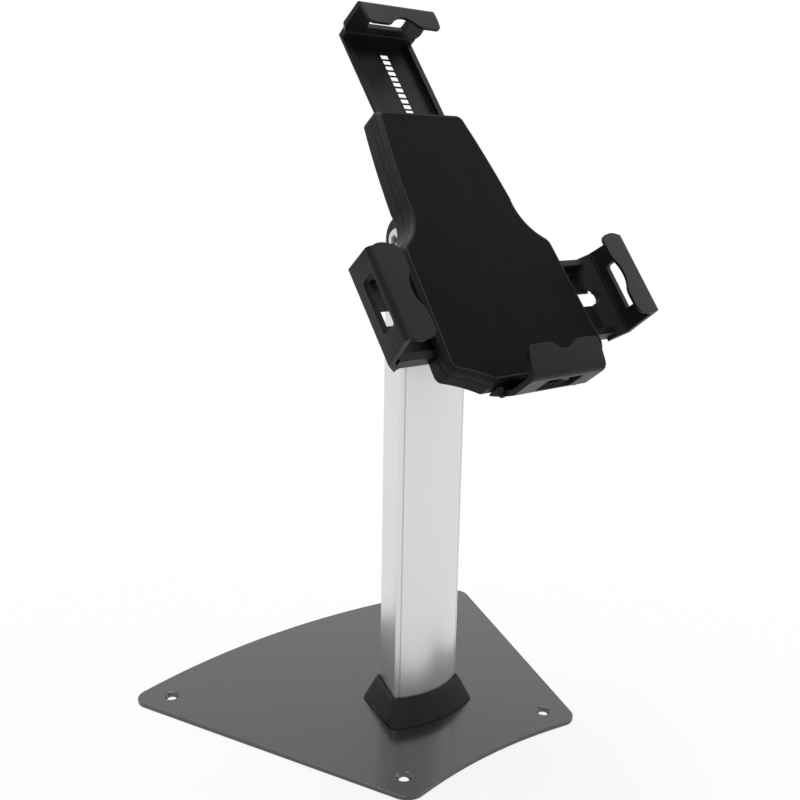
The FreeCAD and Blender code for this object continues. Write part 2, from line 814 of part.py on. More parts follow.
def make_tilt_knuckle():
    """Lug between the ears, with the disc and spindle that the holder swivels on."""
    body = new_body("tilt_knuckle", HOLDER)
    lug = new_sketch(body, "YZ_Plane")
    low, high = z.pivot_v - z.lug_radius, z.pivot_v + z.lug_radius
    add_outline(lug, [(low, -z.pivot_back), (high, -z.pivot_back), (high, -disc_back + PAST),
                      (low, -disc_back + PAST)], {0: z.lug_radius})
    pad(body, lug, 2 * lug_half, both=True)
    disc = new_sketch(body, "XY_Plane", -disc_back)
    add_circle(disc, 0, z.pivot_v, 2 * z.disc_radius)
    pad(body, disc, z.disc_thick)
    spindle = new_sketch(body, "XY_Plane", -washer_back)
    add_circle(spindle, 0, z.pivot_v, 2 * z.spindle_radius)
    pad(body, spindle, washer_back - retainer_back)
    bore = new_sketch(body, "YZ_Plane")
    add_circle(bore, z.pivot_v, -z.pivot_back, z.bolt_size + 2 * z.bolt_fit)
    pocket(body, bore, 2 * lug_half + 2 * PAST, both=True)
    pilots = new_sketch(body, "XY_Plane", -retainer_back)
    for x, y in retainer_spots():
        add_circle(pilots, x, y, boss_hole)
    pocket(body, pilots, washer_back - retainer_back)


def retainer_spots():
    """Places of the three screws that hold the swivel retainer."""
    spots = []
    for step in range(3):
        angle = math.radians(90 + 120 * step)
        spots.append((z.retainer_circle * math.cos(angle),
                      z.pivot_v + z.retainer_circle * math.sin(angle)))
    return spots


def make_swivel():
    """Retainer and nylon washer that clamp the housing's hub to the knuckle's disc."""
    retainer_front = retainer_back - z.retainer_thick
    body = new_body("swivel_retainer", HOLDER)
    disc = new_sketch(body, "XY_Plane", -retainer_back)
    add_circle(disc, 0, z.pivot_v, 2 * z.retainer_radius)
    pad(body, disc, z.retainer_thick)
    holes = new_sketch(body, "XY_Plane", -retainer_back)
    for x, y in retainer_spots():
        add_circle(holes, x, y, boss_hole)
    pocket(body, holes, z.retainer_thick + PAST, back=True)
    rim = math.pi * float(boss_hole)
    dress(body, "Chamfer", (z.small_head - z.small_screw) / 2,
          lambda edge: at_level(edge, 2, -retainer_front) and abs(edge.Length - rim) < NEAR)
    screw = flat_screw(z.small_screw, z.small_head, z.retainer_thick + z.hub_wall)
    screw.rotate(Vector(), Vector(1, 0, 0), 180)
    spots = [Vector(x, y, -retainer_front) for x, y in retainer_spots()]
    screw_group("retainer_screws", screw, spots, HOLDER)
    washer = new_body("swivel_washer", HOLDER)
    ring = new_sketch(washer, "XY_Plane", -washer_back)
    add_circle(ring, 0, z.pivot_v, 2 * z.disc_radius)
    add_circle(ring, 0, z.pivot_v, 2 * (z.spindle_radius + z.spindle_fit))
    pad(washer, ring, z.swivel_washer_thick)


def housing_half(inset):
    """Right half of the housing's outline from the bottom up, moved in by a margin.

    Each convex corner is two points, cut back along its two edges, that a small arc joins.
    """
    cut = z.corner_round
    base_x, base_y = z.base_half - inset, -z.base_level + inset * BASE_INSET
    shoulder_x, shoulder_y = z.shoulder_half - inset, -z.shoulder_level - inset * SHOULDER_INSET
    top_x, top_y = z.top_half - inset, z.top_reach - inset
    return [
        (z.scoop_half - inset * SCOOP_INSET, -z.scoop_reach + inset),
        (base_x - cut * SCOOP_WAY[0], base_y - cut * SCOOP_WAY[1]),
        (base_x, base_y + cut),
        (shoulder_x, shoulder_y - cut),
        (shoulder_x - cut * FLARE_WAY[0], shoulder_y + cut * FLARE_WAY[1]),
        (z.waist_half - inset, z.waist_level),
        (top_x + cut * SIDE_WAY[0], top_y - cut * SIDE_WAY[1]),
        (top_x - cut, top_y),
    ]


def add_housing(sketch, inset):
    """Add the housing's outline, moved in by a margin."""
    cut = z.corner_round
    right = {0: -z.scoop_bow, 1: cut * BASE_CORNER, 3: cut * SHOULDER_CORNER, 4: -z.flare_bow,
             5: z.waist_bow, 6: cut * TOP_CORNER}
    points = mirrored(housing_half(inset))
    left = {len(points) - 2 - index: bow for index, bow in right.items()}
    add_outline(sketch, points, {**right, **left})


def add_bevelled_housing(body, edge, bevel, rise):
    """Add a shell's block from its joint to its outer face, whose rim is cut back at 45 degrees."""
    shoulder = edge + bevel if float(edge) < float(rise) else edge - bevel
    wide = new_sketch(body, "XY_Plane", rise)
    add_housing(wide, 0 * z.shell_wall)
    back = float(edge) < float(rise)
    pad(body, wide, rise - shoulder if back else shoulder - rise, back=back)
    foot = new_sketch(body, "XY_Plane", shoulder)
    add_housing(foot, 0 * z.shell_wall)
    face = new_sketch(body, "XY_Plane", edge)
    add_housing(face, bevel)
    loft = body.newObject("PartDesign::AdditiveLoft", f"Bevel_of_{body.Name}")
    loft.Profile = foot
    loft.Sections = [face]
    loft.Ruled = True
    body.Tip = loft


def make_front_housing():
    """Front shell: bevelled rim, shallow seat for the pad, walls and six screw bosses."""
    body = new_body("front_housing", HOLDER)
    add_bevelled_housing(body, 0 * z.front_depth, z.front_bevel, -z.front_depth)
    seat = new_sketch(body, "XY_Plane")
    add_housing(seat, z.pad_rim)
    pocket(body, seat, z.pad_thick)
    hollow = new_sketch(body, "XY_Plane", -z.front_depth)
    add_housing(hollow, z.shell_wall)
    pocket(body, hollow, z.front_depth - z.pad_thick - z.skin_thick, back=True)
    bosses = new_sketch(body, "XY_Plane", -z.floor_depth + z.slide_gap / 2)
    for x, y in HOUSING_SCREWS:
        for side in (-1, 1):
            add_circle(bosses, side * x, y, 2 * z.boss_radius)
    pad(body, bosses, z.floor_depth - z.slide_gap / 2 - z.pad_thick - z.skin_thick / 2)
    pilots = new_sketch(body, "XY_Plane", -z.floor_depth)
    for x, y in HOUSING_SCREWS:
        for side in (-1, 1):
            add_circle(pilots, side * x, y, boss_hole)
    pocket(body, pilots, z.floor_depth - z.front_depth, back=True)


def make_front_pad():
    """Rubber pad let into the front shell, flush with its rim."""
    body = new_body("front_pad", HOLDER)
    sketch = new_sketch(body, "XY_Plane", -z.pad_thick)
    add_housing(sketch, z.pad_rim + z.pad_gap)
    pad(body, sketch, z.pad_thick)


def make_rear_housing():
    """Rear shell: floor that the arms slide on, their openings, hub and lock hole."""
    body = new_body("rear_housing", HOLDER)
    add_bevelled_housing(body, -z.back_depth, z.back_bevel, -z.front_depth)
    hub = new_sketch(body, "XY_Plane", -hub_back)
    add_circle(hub, 0, z.pivot_v, 2 * z.hub_radius)
    pad(body, hub, z.hub_rise + PAST / 2)
    hollow = new_sketch(body, "XY_Plane", -z.floor_depth)
    add_housing(hollow, z.shell_wall)
    pocket(body, hollow, z.floor_depth - z.front_depth + PAST, back=True)
    hub_room = new_sketch(body, "XY_Plane", -hub_floor)
    add_circle(hub_room, 0, z.pivot_v, 2 * z.retainer_radius + 2 * z.slide_gap)
    pocket(body, hub_room, hub_floor - z.floor_depth + PAST, back=True)
    bore = new_sketch(body, "XY_Plane", -hub_back)
    add_circle(bore, 0, z.pivot_v, 2 * (z.spindle_radius + z.spindle_fit))
    pocket(body, bore, z.hub_wall + PAST, back=True)
    across = z.side_rail_half + z.slide_gap
    sides = new_sketch(body, "YZ_Plane")
    add_box(sides, (-z.side_level - across, -z.floor_depth), (-z.side_level + across, -z.front_depth + PAST))
    pocket(body, sides, 2 * z.base_half + 2 * PAST, both=True)
    across = z.rail_half + z.slide_gap
    top = new_sketch(body, "XZ_Plane", -z.top_reach + 2 * z.shell_wall)
    add_box(top, (-across, -z.floor_depth), (across, -z.front_depth + PAST))
    pocket(body, top, 2 * z.shell_wall + PAST)
    low_half = z.low_tongue_half + z.slide_gap
    low = new_sketch(body, "XZ_Plane", z.scoop_reach - 2 * z.shell_wall)
    tongue_top = z.rail_back - z.low_tongue_thick - z.slide_gap
    add_box(low, (-low_half, -z.floor_depth), (low_half, -tongue_top))
    pocket(body, low, 2 * z.shell_wall + PAST, back=True)
    make_rear_holes(body)


def make_rear_holes(body):
    """Screw, axle and pawl holes through the rear shell's floor."""
    plain = new_sketch(body, "XY_Plane", -z.back_depth)
    hole = z.small_screw + z.screw_play
    for x, y in HOUSING_SCREWS + ((z.low_screw_across, -z.low_screw_up),):
        for side in (-1, 1):
            add_circle(plain, side * x, y, hole)
    add_circle(plain, 0, -z.pinion_level, z.axle_size)
    pocket(body, plain, z.back_depth - z.floor_depth + PAST, back=True)
    rim = math.pi * float(hole)
    dress(body, "Chamfer", (z.small_head - z.small_screw) / 2 - z.small_fit,
          lambda edge: at_level(edge, 2, -z.back_depth) and abs(edge.Length - rim) < NEAR)
    pawl = new_sketch(body, "XY_Plane", -z.back_depth)
    half_wide = z.pawl_wide / 2 + z.pawl_play
    half_tall = z.pawl_tall / 2 + z.pawl_play
    add_box(pawl, (z.slot_side - half_wide, lock_level - half_tall),
            (z.slot_side + half_wide, lock_level + half_tall))
    pocket(body, pawl, z.back_depth - z.floor_depth + PAST, back=True)


def make_housing_screws():
    """Countersunk screws through the rear shell."""
    screw = flat_screw(z.small_screw, z.small_head, z.floor_depth - z.front_depth)
    spots = [Vector(side * x, y, -z.back_depth) for x, y in HOUSING_SCREWS for side in (-1, 1)]
    screw_group("housing_screws", screw, spots, HOLDER)
    short = flat_screw(z.small_screw, z.small_head, z.back_depth - z.rail_back + z.low_tongue_thick)
    spots = [Vector(side * z.low_screw_across, -z.low_screw_up, -z.back_depth) for side in (-1, 1)]
    screw_group("bottom_jaw_screws", short, spots, HOLDER)


def add_channel(body, role, start, length, level, half, floor, bevel=None):
    """Add a C-shaped rail, open to the front, with a small step at the foot of each flange.

    Its back corners are square, or cut back by a bevel.
    """
    low, high = level - half, level + half
    back = [(low, -z.rail_back), (high, -z.rail_back)]
    if bevel is not None:
        back = [(low, -z.rail_back + bevel), (low + bevel, -z.rail_back),
                (high - bevel, -z.rail_back), (high, -z.rail_back + bevel)]
    top = -z.rail_back + floor
    thick, step = z.flange_thick, z.flange_thick + z.flange_step_wide
    sketch = new_sketch(body, role, start)
    add_outline(sketch, back + [
        (high, -z.rail_front), (high - thick, -z.rail_front), (high - thick, top + z.flange_step_tall),
        (high - step, top + z.flange_step_tall), (high - step, top),
        (low + step, top), (low + step, top + z.flange_step_tall),
        (low + thick, top + z.flange_step_tall), (low + thick, -z.rail_front), (low, -z.rail_front)])
    pad(body, sketch, length)


def lip_outline(outer, edge, ends, notch, place):
    """A jaw's lip seen from the front, and its bows: round ends, and a soft notch in its edge.

    Ends are the half widths at the wall and near the edge, the bow between them and the corner's
    radius; the notch is its half width, the length it eases in over, and its depth. The lip is
    drawn with its edge down, and place turns each point into the jaw's own place.
    """
    half, tip, end_bow, corner = ends
    notch_half, ease, deep = notch
    rise = deep * ease / (ease + notch_half)
    right = [(notch_half, edge + rise), (notch_half + ease, edge), (tip - corner, edge),
             (tip, edge + corner), (half, outer)]
    bows = {0: rise / 4, 2: corner * QUARTER_BOW, 3: end_bow}
    bows.update({2 * len(right) - 2 - index: bow for index, bow in list(bows.items())})
    bows[2 * len(right) - 1] = -(deep - rise)
    return [place(across, out) for across, out in mirrored(right)], bows


def make_top_arm():
    """Ratchet rail that slides out of the top of the housing, with the top jaw."""
    body = new_body("top_arm", HOLDER)
    bend = top_foot - z.top_bevel
    length = bend - z.top_rail_end
    add_channel(body, "XZ_Plane", -bend, length, 0 * z.rail_half, z.rail_half, z.top_floor,
                z.top_rail_bevel)
    wall = new_sketch(body, "YZ_Plane")
    floor_front = -z.rail_back + z.top_floor
    inner_foot = top_foot - z.jaw_wall
    add_outline(wall, [(bend - PAST, -z.rail_back), (bend, -z.rail_back),
                       (top_foot, -z.rail_back + z.top_bevel),
                       (z.top_wall_reach, z.jaw_front - z.jaw_round),
                       (z.top_wall_reach - z.jaw_round, z.jaw_front),
                       (z.top_wall_reach - z.jaw_wall, z.jaw_front),
                       (inner_foot, -z.top_ridge_back + z.ridge_wide),
                       (inner_foot - z.ridge_wide, -z.top_ridge_back),
                       (inner_foot, floor_front), (bend - PAST, floor_front)],
                {3: z.jaw_round * QUARTER_BOW})
    pad(body, wall, 2 * z.top_wall_half, both=True)
    taper = new_sketch(body, "XZ_Plane", -z.top_wall_reach - PAST)
    for side in (-1, 1):
        add_outline(taper, [(side * (z.rail_half - z.top_rail_bevel), -z.rail_back),
                            (side * (z.rail_half - z.top_rail_bevel), -z.rail_back - PAST),
                            (side * (z.top_wall_half + PAST), -z.rail_back - PAST),
                            (side * (z.top_wall_half + PAST), z.jaw_front + PAST),
                            (side * z.top_lip_half, z.jaw_front + PAST),
                            (side * z.top_lip_half, z.jaw_front),
                            (side * z.top_wall_half, z.top_shelf_front),
                            (side * z.rail_half, z.top_shelf_front - z.top_shelf_tall),
                            (side * z.rail_half, -z.rail_back + z.top_rail_bevel)])
    pocket(body, taper, 2 * z.jaw_wall + 2 * PAST + z.top_bevel, back=True)
    lip = new_sketch(body, "XY_Plane", lip_back)
    ends = (z.top_lip_half, z.top_tip_half, z.top_end_bow, z.top_lip_corner)
    notch = (z.top_notch_half, z.top_notch_ease, z.top_notch_deep)
    add_outline(lip, *lip_outline(z.top_wall_reach - z.jaw_round, top_lip_edge, ends, notch,
                                  lambda across, out: (across, out)))
    pad(body, lip, z.lip_thick)
    window = new_sketch(body, "XZ_Plane", -z.top_wall_reach - PAST)
    add_box(window, (-z.window_half, z.window_low), (z.window_half, z.window_high))
    pocket(body, window, 2 * z.jaw_wall + 2 * PAST, back=True)
    round_window(body, 1, 0, 0 * z.window_half, z.window_half)
    room = new_sketch(body, "XY_Plane", -z.rail_back)
    middle = z.slot_side + z.slot_room_side
    last = z.slot_first - (z.slot_count - 1) * z.slot_pitch
    add_box(room, (middle - z.slot_room_half, last - z.slot_tall / 2 - z.slot_room_past / 2),
            (middle + z.slot_room_half, z.slot_first + z.slot_tall / 2 + z.slot_room_past * 2))
    pocket(body, room, z.top_floor - z.slot_skin, back=True)
    slot = new_sketch(body, "XY_Plane", -z.rail_back)
    add_box(slot, (z.slot_side - z.slot_wide / 2, z.slot_first - z.slot_tall / 2),
            (z.slot_side + z.slot_wide / 2, z.slot_first + z.slot_tall / 2))
    pocket(body, slot, z.top_floor + PAST, back=True)
    in_row(body, "Y_Axis", z.slot_pitch, z.slot_count, back=True)


def round_window(body, through, across, level, half):
    """Round the corners of a jaw wall's window, cut along one axis and level on another."""
    def is_corner(edge):
        point = edge.Vertexes[0].Point
        beside = abs(abs(point[across] - float(level)) - half) < NEAR
        return (runs_along(edge, through) and beside
                and z.window_low - NEAR < point.z < z.window_high + NEAR)
    dress(body, "Fillet", z.window_corner, is_corner)


def make_side_arm(label, side):
    """Side arm: rail, lapped rack and jaw; side is 1 for right and -1 for left."""
    body = new_body(label, HOLDER)
    level = -z.side_level
    foot = side_foot - z.side_bevel
    start = z.side_rail_end
    add_channel(body, "YZ_Plane", start if side > 0 else -foot - PAST / 2,
                foot + PAST / 2 - start, level, z.side_rail_half, z.side_floor)
    add_side_jaw(body, side, level, foot)
    recess = new_sketch(body, "XY_Plane", -side_front if side > 0 else -z.rail_back)
    low, high = level - z.recess_half, level + z.recess_half
    add_box(recess, (side * (start - PAST), low), (side * z.recess_end, high))
    cut = lap_half + z.lap_gap
    pocket(body, recess, cut, back=side < 0)
    tongue_back = -z.rail_back if side > 0 else -side_front - lap_half
    tongue = new_sketch(body, "XY_Plane", tongue_back)
    add_box(tongue, (-side * z.tongue_end, low), (side * (start + PAST), high))
    pad(body, tongue, lap_half)
    half = z.pinion_pitch + z.tooth_module + z.tooth_clear
    rack_window = new_sketch(body, "XY_Plane", -z.rail_back)
    add_box(rack_window, (-side * z.rack_window_start, -z.pinion_level - half),
            (side * z.rack_window_end, -z.pinion_level + half))
    pocket(body, rack_window, z.side_floor + PAST, back=True)
    add_side_slot(body, side)
    add_rack(body, side, tongue_back)


def add_side_slot(body, side):
    """Cut the long slot that runs on from the rack's window, with round corners at its end."""
    low, high = -z.pinion_level - z.side_slot_half, -z.pinion_level + z.side_slot_half
    cut = z.side_slot_corner
    bow = side * cut * QUARTER_BOW
    slot = new_sketch(body, "XY_Plane", -z.rail_back)
    add_outline(slot, [(side * (z.rack_window_end - PAST), low), (side * (z.side_slot_end - cut), low),
                       (side * z.side_slot_end, low + cut), (side * z.side_slot_end, high - cut),
                       (side * (z.side_slot_end - cut), high),
                       (side * (z.rack_window_end - PAST), high)], {1: bow, 3: bow})
    pocket(body, slot, z.side_floor + z.side_bevel, back=True)


def add_side_jaw(body, side, level, foot):
    """Add the leaning wall, lip, taper and window of a side jaw."""
    inner_foot = side_foot - z.jaw_wall
    slope = z.side_bevel - z.jaw_wall * 0.6
    floor = -side_front
    wall = new_sketch(body, "XZ_Plane", z.side_level)
    add_outline(wall, [(side * foot, -z.rail_back),
                       (side * side_foot, -z.rail_back + z.side_bevel),
                       (side * z.side_wall_reach, z.jaw_front - z.jaw_round),
                       (side * (z.side_wall_reach - z.jaw_round), z.jaw_front),
                       (side * (z.side_wall_reach - z.jaw_wall), z.jaw_front),
                       (side * inner_foot, -z.side_ridge_back + z.ridge_wide),
                       (side * (inner_foot - z.ridge_wide), -z.side_ridge_back),
                       (side * inner_foot, floor + slope), (side * (inner_foot - slope), floor),
                       (side * foot, floor)], {2: side * z.jaw_round * QUARTER_BOW})
    pad(body, wall, 2 * z.side_foot_half, both=True)
    taper = new_sketch(body, "YZ_Plane", side * (z.side_wall_reach + PAST))
    for end in (-1, 1):
        shoulder = -z.rail_back + z.side_bevel
        add_outline(taper, [(level + end * z.side_foot_half, shoulder),
                            (level + end * (z.side_foot_half + PAST), shoulder),
                            (level + end * (z.side_foot_half + PAST), z.jaw_front + PAST),
                            (level + end * z.side_lip_half, z.jaw_front + PAST),
                            (level + end * z.side_lip_half, z.jaw_front)])
    pocket(body, taper, 3 * z.jaw_wall + 2 * PAST, back=side < 0)
    lip = new_sketch(body, "XY_Plane", lip_back)
    ends = (z.side_lip_half, z.side_tip_half, z.side_end_bow, z.side_lip_corner)
    notch = (z.side_notch_half, z.side_notch_ease, z.side_notch_deep)
    add_outline(lip, *lip_outline(z.side_wall_reach - z.jaw_round, side_lip_edge, ends, notch,
                                  lambda across, out: (side * out, level - side * across)))
    pad(body, lip, z.lip_thick)
    window = new_sketch(body, "YZ_Plane", side * (z.side_wall_reach + PAST))
    middle = level - z.side_window_drop
    half = z.side_window_half
    add_box(window, (middle - half, z.window_low), (middle + half, z.window_high))
    pocket(body, window, 3 * z.jaw_wall + 2 * PAST, back=side < 0)
    round_window(body, 0, 1, middle, half)


def add_rack(body, side, back):
    """Add rack teeth along one edge of the rack's window."""
    pitch = math.pi * z.tooth_module
    root = z.pinion_pitch + z.tooth_module + z.tooth_clear
    tip = z.pinion_pitch - z.tooth_module
    wide = pitch / 4 + tooth_slope - z.tooth_backlash / 2
    thin = pitch / 4 - tooth_slope - z.tooth_backlash / 2
    first = -side * 5 * pitch
    tooth = new_sketch(body, "XY_Plane", back)
    level = -z.pinion_level
    add_outline(tooth, [(first - wide, level - side * (root + NEAR)),
                        (first + wide, level - side * (root + NEAR)),
                        (first + thin, level - side * tip), (first - thin, level - side * tip)])
    pad(body, tooth, lap_half)
    in_row(body, "X_Axis", pitch, z.rack_count, back=side < 0)


def make_pinion():
    """Pinion between the two racks, and the rivet it turns on."""
    place = HOLDER.multiply(Placement(Vector(0, -z.pinion_level, 0), Rotation()))
    body = new_body("pinion", place)
    root = z.pinion_pitch - z.tooth_module - z.tooth_clear
    gear_back = z.rail_back
    thick = gear_back - side_front
    core = new_sketch(body, "XY_Plane", -gear_back)
    add_circle(core, 0, 0, 2 * root)
    add_circle(core, 0, 0, z.axle_size + 2 * z.axle_fit)
    pad(body, core, thick)
    tooth = new_sketch(body, "XY_Plane", -gear_back)
    step = math.pi / float(z.pinion_teeth)
    pitch = math.pi * z.tooth_module
    tip = z.pinion_pitch + z.tooth_module
    wide = pitch / 4 + tooth_slope * ROOT_SHARE - z.tooth_backlash / 2
    middle = pitch / 4 - z.tooth_backlash / 2
    thin = pitch / 4 - tooth_slope - z.tooth_backlash / 2
    flank = [(root - NEAR * 5, wide), (z.pinion_pitch, middle), (tip, thin)]
    turned = []
    for along, across in flank + [(along, -across) for along, across in reversed(flank)]:
        turned.append((along * math.cos(step) - across * math.sin(step),
                       along * math.sin(step) + across * math.cos(step)))
    add_outline(tooth, turned)
    pad(body, tooth, thick)
    polar(body, z.pinion_teeth)
    axle = new_body("pinion_axle", place)
    shank = new_sketch(axle, "XY_Plane", -z.back_depth)
    add_circle(shank, 0, 0, z.axle_size)
    pad(axle, shank, z.back_depth - side_front + z.slide_gap)
    head = new_sketch(axle, "XY_Plane", -side_front + z.slide_gap / 2)
    add_circle(head, 0, 0, z.axle_head)
    pad(axle, head, z.axle_head_tall)


def make_bottom_jaw():
    """Fixed jaw screwed to the rear shell: tongue, wall and outward-leaning lip."""
    body = new_body("bottom_jaw", HOLDER)
    floor_front = -z.rail_back + z.low_tongue_thick
    foot = z.low_wall_reach - z.low_foot_inset
    inner = z.low_wall_reach - z.jaw_wall
    tongue = new_sketch(body, "XY_Plane", -z.rail_back)
    add_box(tongue, (-z.low_tongue_half, -foot), (z.low_tongue_half, -z.low_tongue_end))
    pad(body, tongue, z.low_tongue_thick)
    wall = new_sketch(body, "YZ_Plane")
    lean = (z.low_lip_front - z.low_bend_front) / (low_bend_reach - low_lip_edge)
    add_outline(wall, [(-foot + PAST, -z.rail_back), (-foot + PAST, floor_front),
                       (-inner, z.low_turn_front),
                       (-inner, z.low_wall_front - z.low_lip_thick * 0.3),
                       (-low_bend_reach + z.jaw_wall * 0.4, z.low_bend_front - z.low_lip_thick),
                       (-low_lip_edge + lean * z.low_lip_thick, z.low_lip_front - z.low_lip_thick),
                       (-low_lip_edge, z.low_lip_front), (-low_bend_reach, z.low_bend_front),
                       (-z.low_wall_reach, z.low_wall_front),
                       (-z.low_wall_reach, z.low_turn_front), (-foot, -z.rail_back)],
                {7: z.low_bend_bow, 9: z.low_back_bow})
    pad(body, wall, 2 * z.low_half, both=True)
    ears = new_sketch(body, "XY_Plane", -z.low_ear_front - z.low_ear_thick)
    outer = z.low_wall_reach - z.low_ear_inset
    ear_top = -z.scoop_reach - z.low_ear_gap
    for side in (-1, 1):
        add_outline(ears, [(side * (z.low_half - PAST), ear_top),
                           (side * (z.low_ear_half - z.jaw_wall / 2), ear_top),
                           (side * z.low_ear_half, ear_top - z.jaw_wall / 2),
                           (side * z.low_ear_half, -outer + z.jaw_wall),
                           (side * (z.low_ear_half - z.jaw_wall), -outer),
                           (side * (z.low_half - PAST), -outer)])
    pad(body, ears, z.low_ear_thick)
    shape = new_sketch(body, "XY_Plane", z.low_bend_front - 2 * z.low_lip_thick)
    ends = (z.low_half, z.low_tip_half, z.low_end_bow, z.low_lip_corner)
    notch = (z.low_notch_half, z.low_notch_ease, z.low_notch_deep)
    add_outline(shape, *lip_outline(z.low_wall_reach + PAST, low_lip_edge, ends, notch,
                                    lambda across, out: (-across, -out)))
    around = z.low_half + 2 * PAST
    add_box(shape, (-around, -z.low_wall_reach - 2 * PAST), (around, -low_lip_edge + 2 * PAST))
    pocket(body, shape, 4 * z.low_lip_thick, back=True)
    window = new_sketch(body, "XZ_Plane", z.low_wall_reach + PAST)
    add_box(window, (-z.window_half, z.window_low), (z.window_half, z.window_high))
    pocket(body, window, 2 * z.jaw_wall + 2 * PAST)
    round_window(body, 1, 0, 0 * z.window_half, z.window_half)
    pilots = new_sketch(body, "XY_Plane", -z.rail_back)
    for side in (-1, 1):
        add_circle(pilots, side * z.low_screw_across, -z.low_screw_up, boss_hole)
    pocket(body, pilots, z.low_tongue_thick + PAST, back=True)


def make_jaw_pads():
    """Rubber strips under the lips of the four jaws."""
    back = lip_back - z.grip_thick
    top = new_body("top_jaw_pad", HOLDER)
    sketch = new_sketch(top, "XY_Plane", back)
    half = z.top_tip_half - z.grip_inset
    inner = top_lip_edge + z.top_notch_deep + z.grip_back
    add_box(sketch, (-half, inner), (half, z.top_wall_reach - z.grip_foot))
    pad(top, sketch, z.grip_thick)
    for label, side in (("right_jaw_pad", 1), ("left_jaw_pad", -1)):
        body = new_body(label, HOLDER)
        strip = new_sketch(body, "XY_Plane", back)
        half = z.side_lip_half - z.grip_inset
        inner = side_lip_edge + z.side_notch_deep + z.grip_back
        add_box(strip, (side * inner, -z.side_level - half),
                (side * (z.side_wall_reach - z.grip_foot), -z.side_level + half))
        pad(body, strip, z.grip_thick)
    low = new_body("bottom_jaw_pad", HOLDER)
    rise = z.low_lip_front - z.low_bend_front
    lean = rise / (low_bend_reach - low_lip_edge)
    run = low_bend_reach - low_lip_edge - z.low_notch_deep - z.jaw_wall * 0.4
    start = -low_bend_reach + z.jaw_wall * 0.4
    inner_lean = rise / (low_bend_reach - low_lip_edge + lean * z.low_lip_thick - z.jaw_wall * 0.4)
    seat = z.low_bend_front - z.low_lip_thick
    strip = new_sketch(low, "YZ_Plane")
    add_outline(strip, [(start, seat), (start, seat - z.grip_thick),
                        (start + run, seat - z.grip_thick + run * inner_lean),
                        (start + run, seat + run * inner_lean)])
    pad(low, strip, 2 * (z.low_tip_half - z.grip_inset), both=True)


def make_lock():
    """Key lock behind the top rail: barrel, turning plug and the pawl it lifts."""
    place = HOLDER.multiply(Placement(Vector(z.slot_side, lock_level, 0), Rotation()))
    barrel_back = z.back_depth + z.lock_long
    barrel = new_body("lock_barrel", place)
    ring = new_sketch(barrel, "XY_Plane", -barrel_back)
    add_circle(ring, 0, 0, 2 * z.barrel_radius)
    add_circle(ring, 0, 0, 2 * (z.plug_radius + z.lock_fit))
    pad(barrel, ring, z.lock_long)
    plug = new_body("lock_plug", place)
    disc = new_sketch(plug, "XY_Plane", -barrel_back + z.slide_gap)
    add_circle(disc, 0, 0, 2 * z.plug_radius)
    pad(plug, disc, z.plug_long)
    keyway = new_sketch(plug, "XY_Plane", -barrel_back + z.slide_gap)
    add_box(keyway, (-z.keyway_wide / 2, -z.keyway_long / 2), (z.keyway_wide / 2, z.keyway_long / 2))
    pocket(plug, keyway, z.plug_long * 0.7, back=True)
    pawl_back = -barrel_back + z.slide_gap + z.plug_long + z.pawl_play
    pawl = new_body("pawl", place)
    base = new_sketch(pawl, "XY_Plane", pawl_back)
    add_circle(base, 0, 0, 2 * z.plug_radius)
    pad(pawl, base, z.pawl_base)
    tip = new_sketch(pawl, "XY_Plane", pawl_back)
    add_box(tip, (-z.pawl_wide / 2, -z.pawl_tall / 2), (z.pawl_wide / 2, z.pawl_tall / 2))
    pad(pawl, tip, -z.rail_back + z.top_floor - z.slot_skin - z.slide_gap - pawl_back)


def check_and_write():
    """Recompute, stop on any failed feature or bad solid, and write one file for each piece."""
    doc.recompute()
    for item in doc.Objects:
        if any(word in ("Invalid", "Error") for word in item.State):
            raise SystemExit(f"{item.Name} did not compute: {item.State}")
    os.makedirs("parts", exist_ok=True)
    for piece in PARTS:
        shape = piece.Shape
        if shape.isNull() or not shape.isValid() or not shape.Solids:
            raise SystemExit(f"{piece.Label} is not a valid solid")
        shape.exportStep(f"parts/{piece.Label}.step")
        print(f"{piece.Label}: {len(shape.Solids)} solid(s), {shape.Volume:.1f} mm3")


make_base_plate()
make_column()
make_foot_collar()
make_column_cap()
make_column_screws()
make_tilt_bolt()
make_tilt_nut()
make_tilt_washers()
make_tilt_knuckle()
make_swivel()
make_front_housing()
make_front_pad()
make_rear_housing()
make_housing_screws()
make_top_arm()
make_side_arm("right_arm", 1)
make_side_arm("left_arm", -1)
make_pinion()
make_bottom_jaw()
make_jaw_pads()
make_lock()
check_and_write()
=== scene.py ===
"""Desktop tablet stand: its looks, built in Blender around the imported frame.

Sizes are in millimetres and are turned to metres where a mesh is made. The stand's own axes are
the frame's. The holder has its own axes, U to the right, V up along the tablet and W out of its
front face, leaned back about the tilt pivot.
"""

import json
import logging
import math
from collections.abc import Mapping, Sequence
from dataclasses import dataclass, field
from enum import Enum
from functools import partial
from typing import Any

import bmesh
import bpy
from bmesh.types import BMesh
from bpy.types import ID, Material, Mesh, Node, NodeSocket, NodeTree, Object, World
from mathutils import Matrix, Vector

